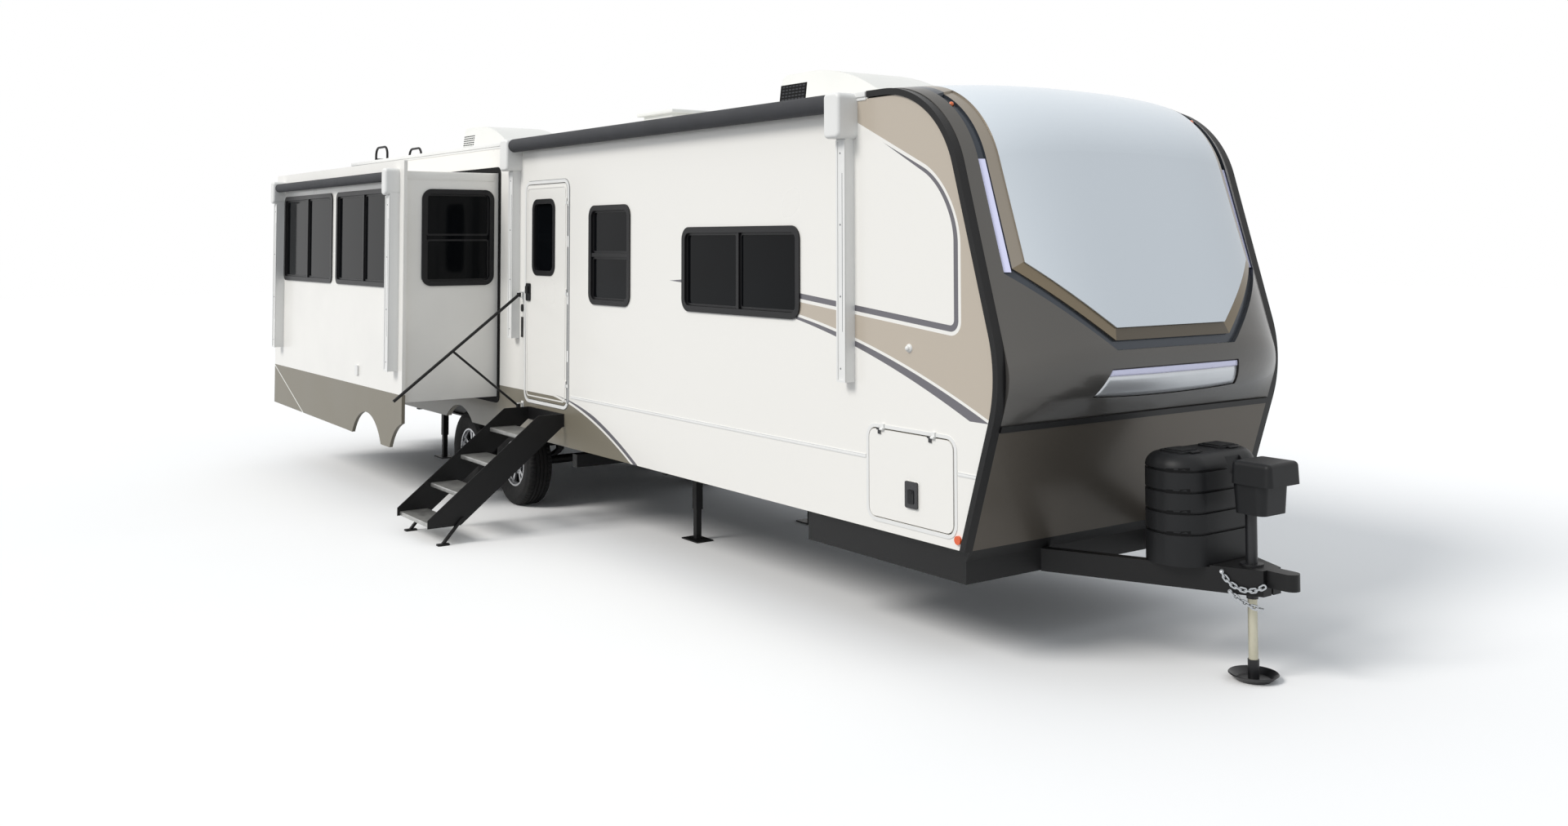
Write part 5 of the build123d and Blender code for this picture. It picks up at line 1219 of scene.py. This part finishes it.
def lug_nuts():
    """Hexagonal nuts round each hub."""
    for wheel, (side, x) in WHEELS.items():
        nuts = Shape()
        for k in range(NUTS):
            turn = 2 * pi * (k + 0.5) / NUTS
            a = x + NUT_CIRCLE * cos(turn)
            b = AXLE_HEIGHT + NUT_CIRCLE * sin(turn)
            outline = [(a + NUT_RADIUS * cos(pi * flat / 3),
                        b + NUT_RADIUS * sin(pi * flat / 3))
                       for flat in range(6)]
            nuts.hull(outline, DISC_FACE - SUNK, DISC_FACE + NUT_LENGTH,
                      upright(side, TRACK))
        nuts.piece("lug_nuts_" + wheel, ZINC, "wheel_" + wheel, "alloy",
                   smooth=False)


# The gas bottle cover

COVER_TOP = 1.187
LID_MIDDLES, LID_HALF = (-0.165, 0.165), 0.09
LID_X, LID_RADIUS = (-0.645, -0.475), 0.03
LID_TIERS = ((0.0, -0.002, 0.010), (-0.022, 0.009, 0.016))  # growth and depths
TAB_HALF, TAB_X, TAB_DEPTHS = 0.035, (-0.475, -0.455), (0.001, 0.012)
COVER_CORNER = (-0.540, -0.185, 0.1655)    # centre and radius of its corner
NOTCH_HEIGHTS = (0.760, 0.872, 0.984, 1.096)
NOTCH_START, NOTCH_SWEEP, NOTCH_STEPS = -82, 45, 9  # degrees round the corner
NOTCH_LOW, NOTCH_HIGH = (0.0, 0.004), (0.020, 0.030)  # its edges at each end
NOTCH_DEPTHS = (-0.004, 0.0006)


def cover_lids():
    """Two lids with their tabs on top of the gas cover."""
    def fit(x, y, depth):
        return Vector((x, y, COVER_TOP + depth + GROUND_Z))

    lids = Shape()
    for y in LID_MIDDLES:
        for grow, start, end in LID_TIERS:
            lids.pad((*LID_X, y - LID_HALF, y + LID_HALF), LID_RADIUS,
                     start, end, fit, grow)
        lids.block((TAB_X[0], y - TAB_HALF, COVER_TOP + TAB_DEPTHS[0]),
                   (TAB_X[1], y + TAB_HALF, COVER_TOP + TAB_DEPTHS[1]),
                   SOFT_EDGE)
    lids.piece("cover_lids", COVER_BLACK, "trailer", "cover_black")


def cover_notch_shade():
    """Near-black sheets of painted shade in the deep notches at the door-side end of
    the cover's grooves.
    """
    x, y, radius = COVER_CORNER

    def fit(share, height, depth):
        turn = radians(NOTCH_START + NOTCH_SWEEP * share)
        return Vector((x + (radius + depth) * cos(turn),
                       y + (radius + depth) * sin(turn), height + GROUND_Z))

    def edge(height, rises):
        start, end = rises
        shares = [k / NOTCH_STEPS for k in range(NOTCH_STEPS + 1)]
        return [(share, height + start + (end - start) * share)
                for share in shares]

    # Painted shade: thin near-black sheets laid where the notches fall in shade
    notches = Shape()
    for height in NOTCH_HEIGHTS:
        outline = edge(height, NOTCH_LOW) + edge(height, NOTCH_HIGH)[::-1]
        notches.hull(outline, *NOTCH_DEPTHS, fit)
    notches.piece("cover_notch_shade", SEAL_AND_NOTCH_SHADE_BLACK, "trailer", "cover_black")


for make in (seam_trims, wall_fittings, cap_lamps, cap_plate, slide_seals,
             roof_gutters, door_details, baggage_details, window_sashes,
             arm_channels, air_louvres, air_grille, vent_lids, tyres, lug_nuts,
             cover_lids, cover_notch_shade, socket_cover):
    make()


# The setting

# Rays that see plain white; the others get the light that is given here
SEEN_RAYS = ("Is Camera Ray", "Is Glossy Ray", "Is Transmission Ray")
FLOOR_REACH = 60.0
FLOOR_BOUNCE = "9fa0a2"
SUN_TOWARD, SUN_POWER, SUN_SPREAD = (0.08, 0.76, -0.62), 1.95, 24
SUN_COLOUR = (1.0, 0.975, 0.94)
SKY_COLOUR, SKY_POWER = (0.92, 0.96, 1.0, 1.0), 0.70


def studio_floor():
    """A floor that is seen as near white and bounces a softer grey."""
    f = Finish("studio_floor")
    seen = f.blend(f.noise(0.3), "fbfbfb", "ffffff")
    tone = FLOOR_BOUNCE
    for ray in SEEN_RAYS:
        tone = f.blend(f.node("ShaderNodeLightPath", out=ray), tone, seen)
    floor = Shape()
    floor.mesh.faces.new(floor.row(
        (x * FLOOR_REACH, y * FLOOR_REACH, GROUND_Z)
        for x, y in ((-1, -1), (1, -1), (1, 1), (-1, 1))))
    floor.end("studio_floor", f.surface(
        Base_Color=tone, Roughness=1.0, Specular_IOR_Level=0.0))


def daylight():
    """A soft sun from the door side, and a bright sky."""
    sun = bpy.data.lights.new("sun", "SUN")
    sun.energy, sun.angle, sun.color = SUN_POWER, radians(SUN_SPREAD), SUN_COLOUR
    lamp = linked("sun", sun)
    lamp.rotation_euler = Vector(SUN_TOWARD).to_track_quat("-Z", "Y").to_euler()
    sky = Finish("sky", bpy.data.worlds)
    light = sky.node("ShaderNodeBackground", None,
                     {"Color": SKY_COLOUR, "Strength": SKY_POWER})
    seen = sky.node("ShaderNodeBackground", None, {"Color": colour("ffffff")})
    for ray in SEEN_RAYS:
        light = sky.node("ShaderNodeMixShader", None,
                         {0: sky.node("ShaderNodeLightPath", out=ray),
                          1: light, 2: seen})
    bpy.context.scene.world = sky.end("ShaderNodeOutputWorld", light)


def photo_camera():
    """The photograph's camera."""
    data = bpy.data.cameras.new("photo_camera")
    data.lens, data.sensor_width = CAMERA_LENS, SENSOR
    data.clip_end = 200.0
    data.shift_y = (HORIZON_CENTRE - PHOTO_HEIGHT / 2) / PHOTO_WIDTH
    camera = linked("photo_camera", data)
    yaw, pitch = radians(CAMERA_YAW), radians(CAMERA_PITCH)
    look = Vector((cos(yaw) * cos(pitch), sin(yaw) * cos(pitch), sin(pitch)))
    across = look.cross(Vector((0, 0, 1))).normalized()
    up = across.cross(look)
    turn = Matrix((across, up, -look)).transposed()
    roll = Matrix.Rotation(radians(CAMERA_ROLL), 3, "Z")
    camera.matrix_world = Matrix.Translation(CAMERA_PLACE) @ (turn @ roll).to_4x4()
    bpy.context.scene.camera = camera


studio_floor()
daylight()
photo_camera()
bpy.context.scene.view_settings.view_transform = "Standard"
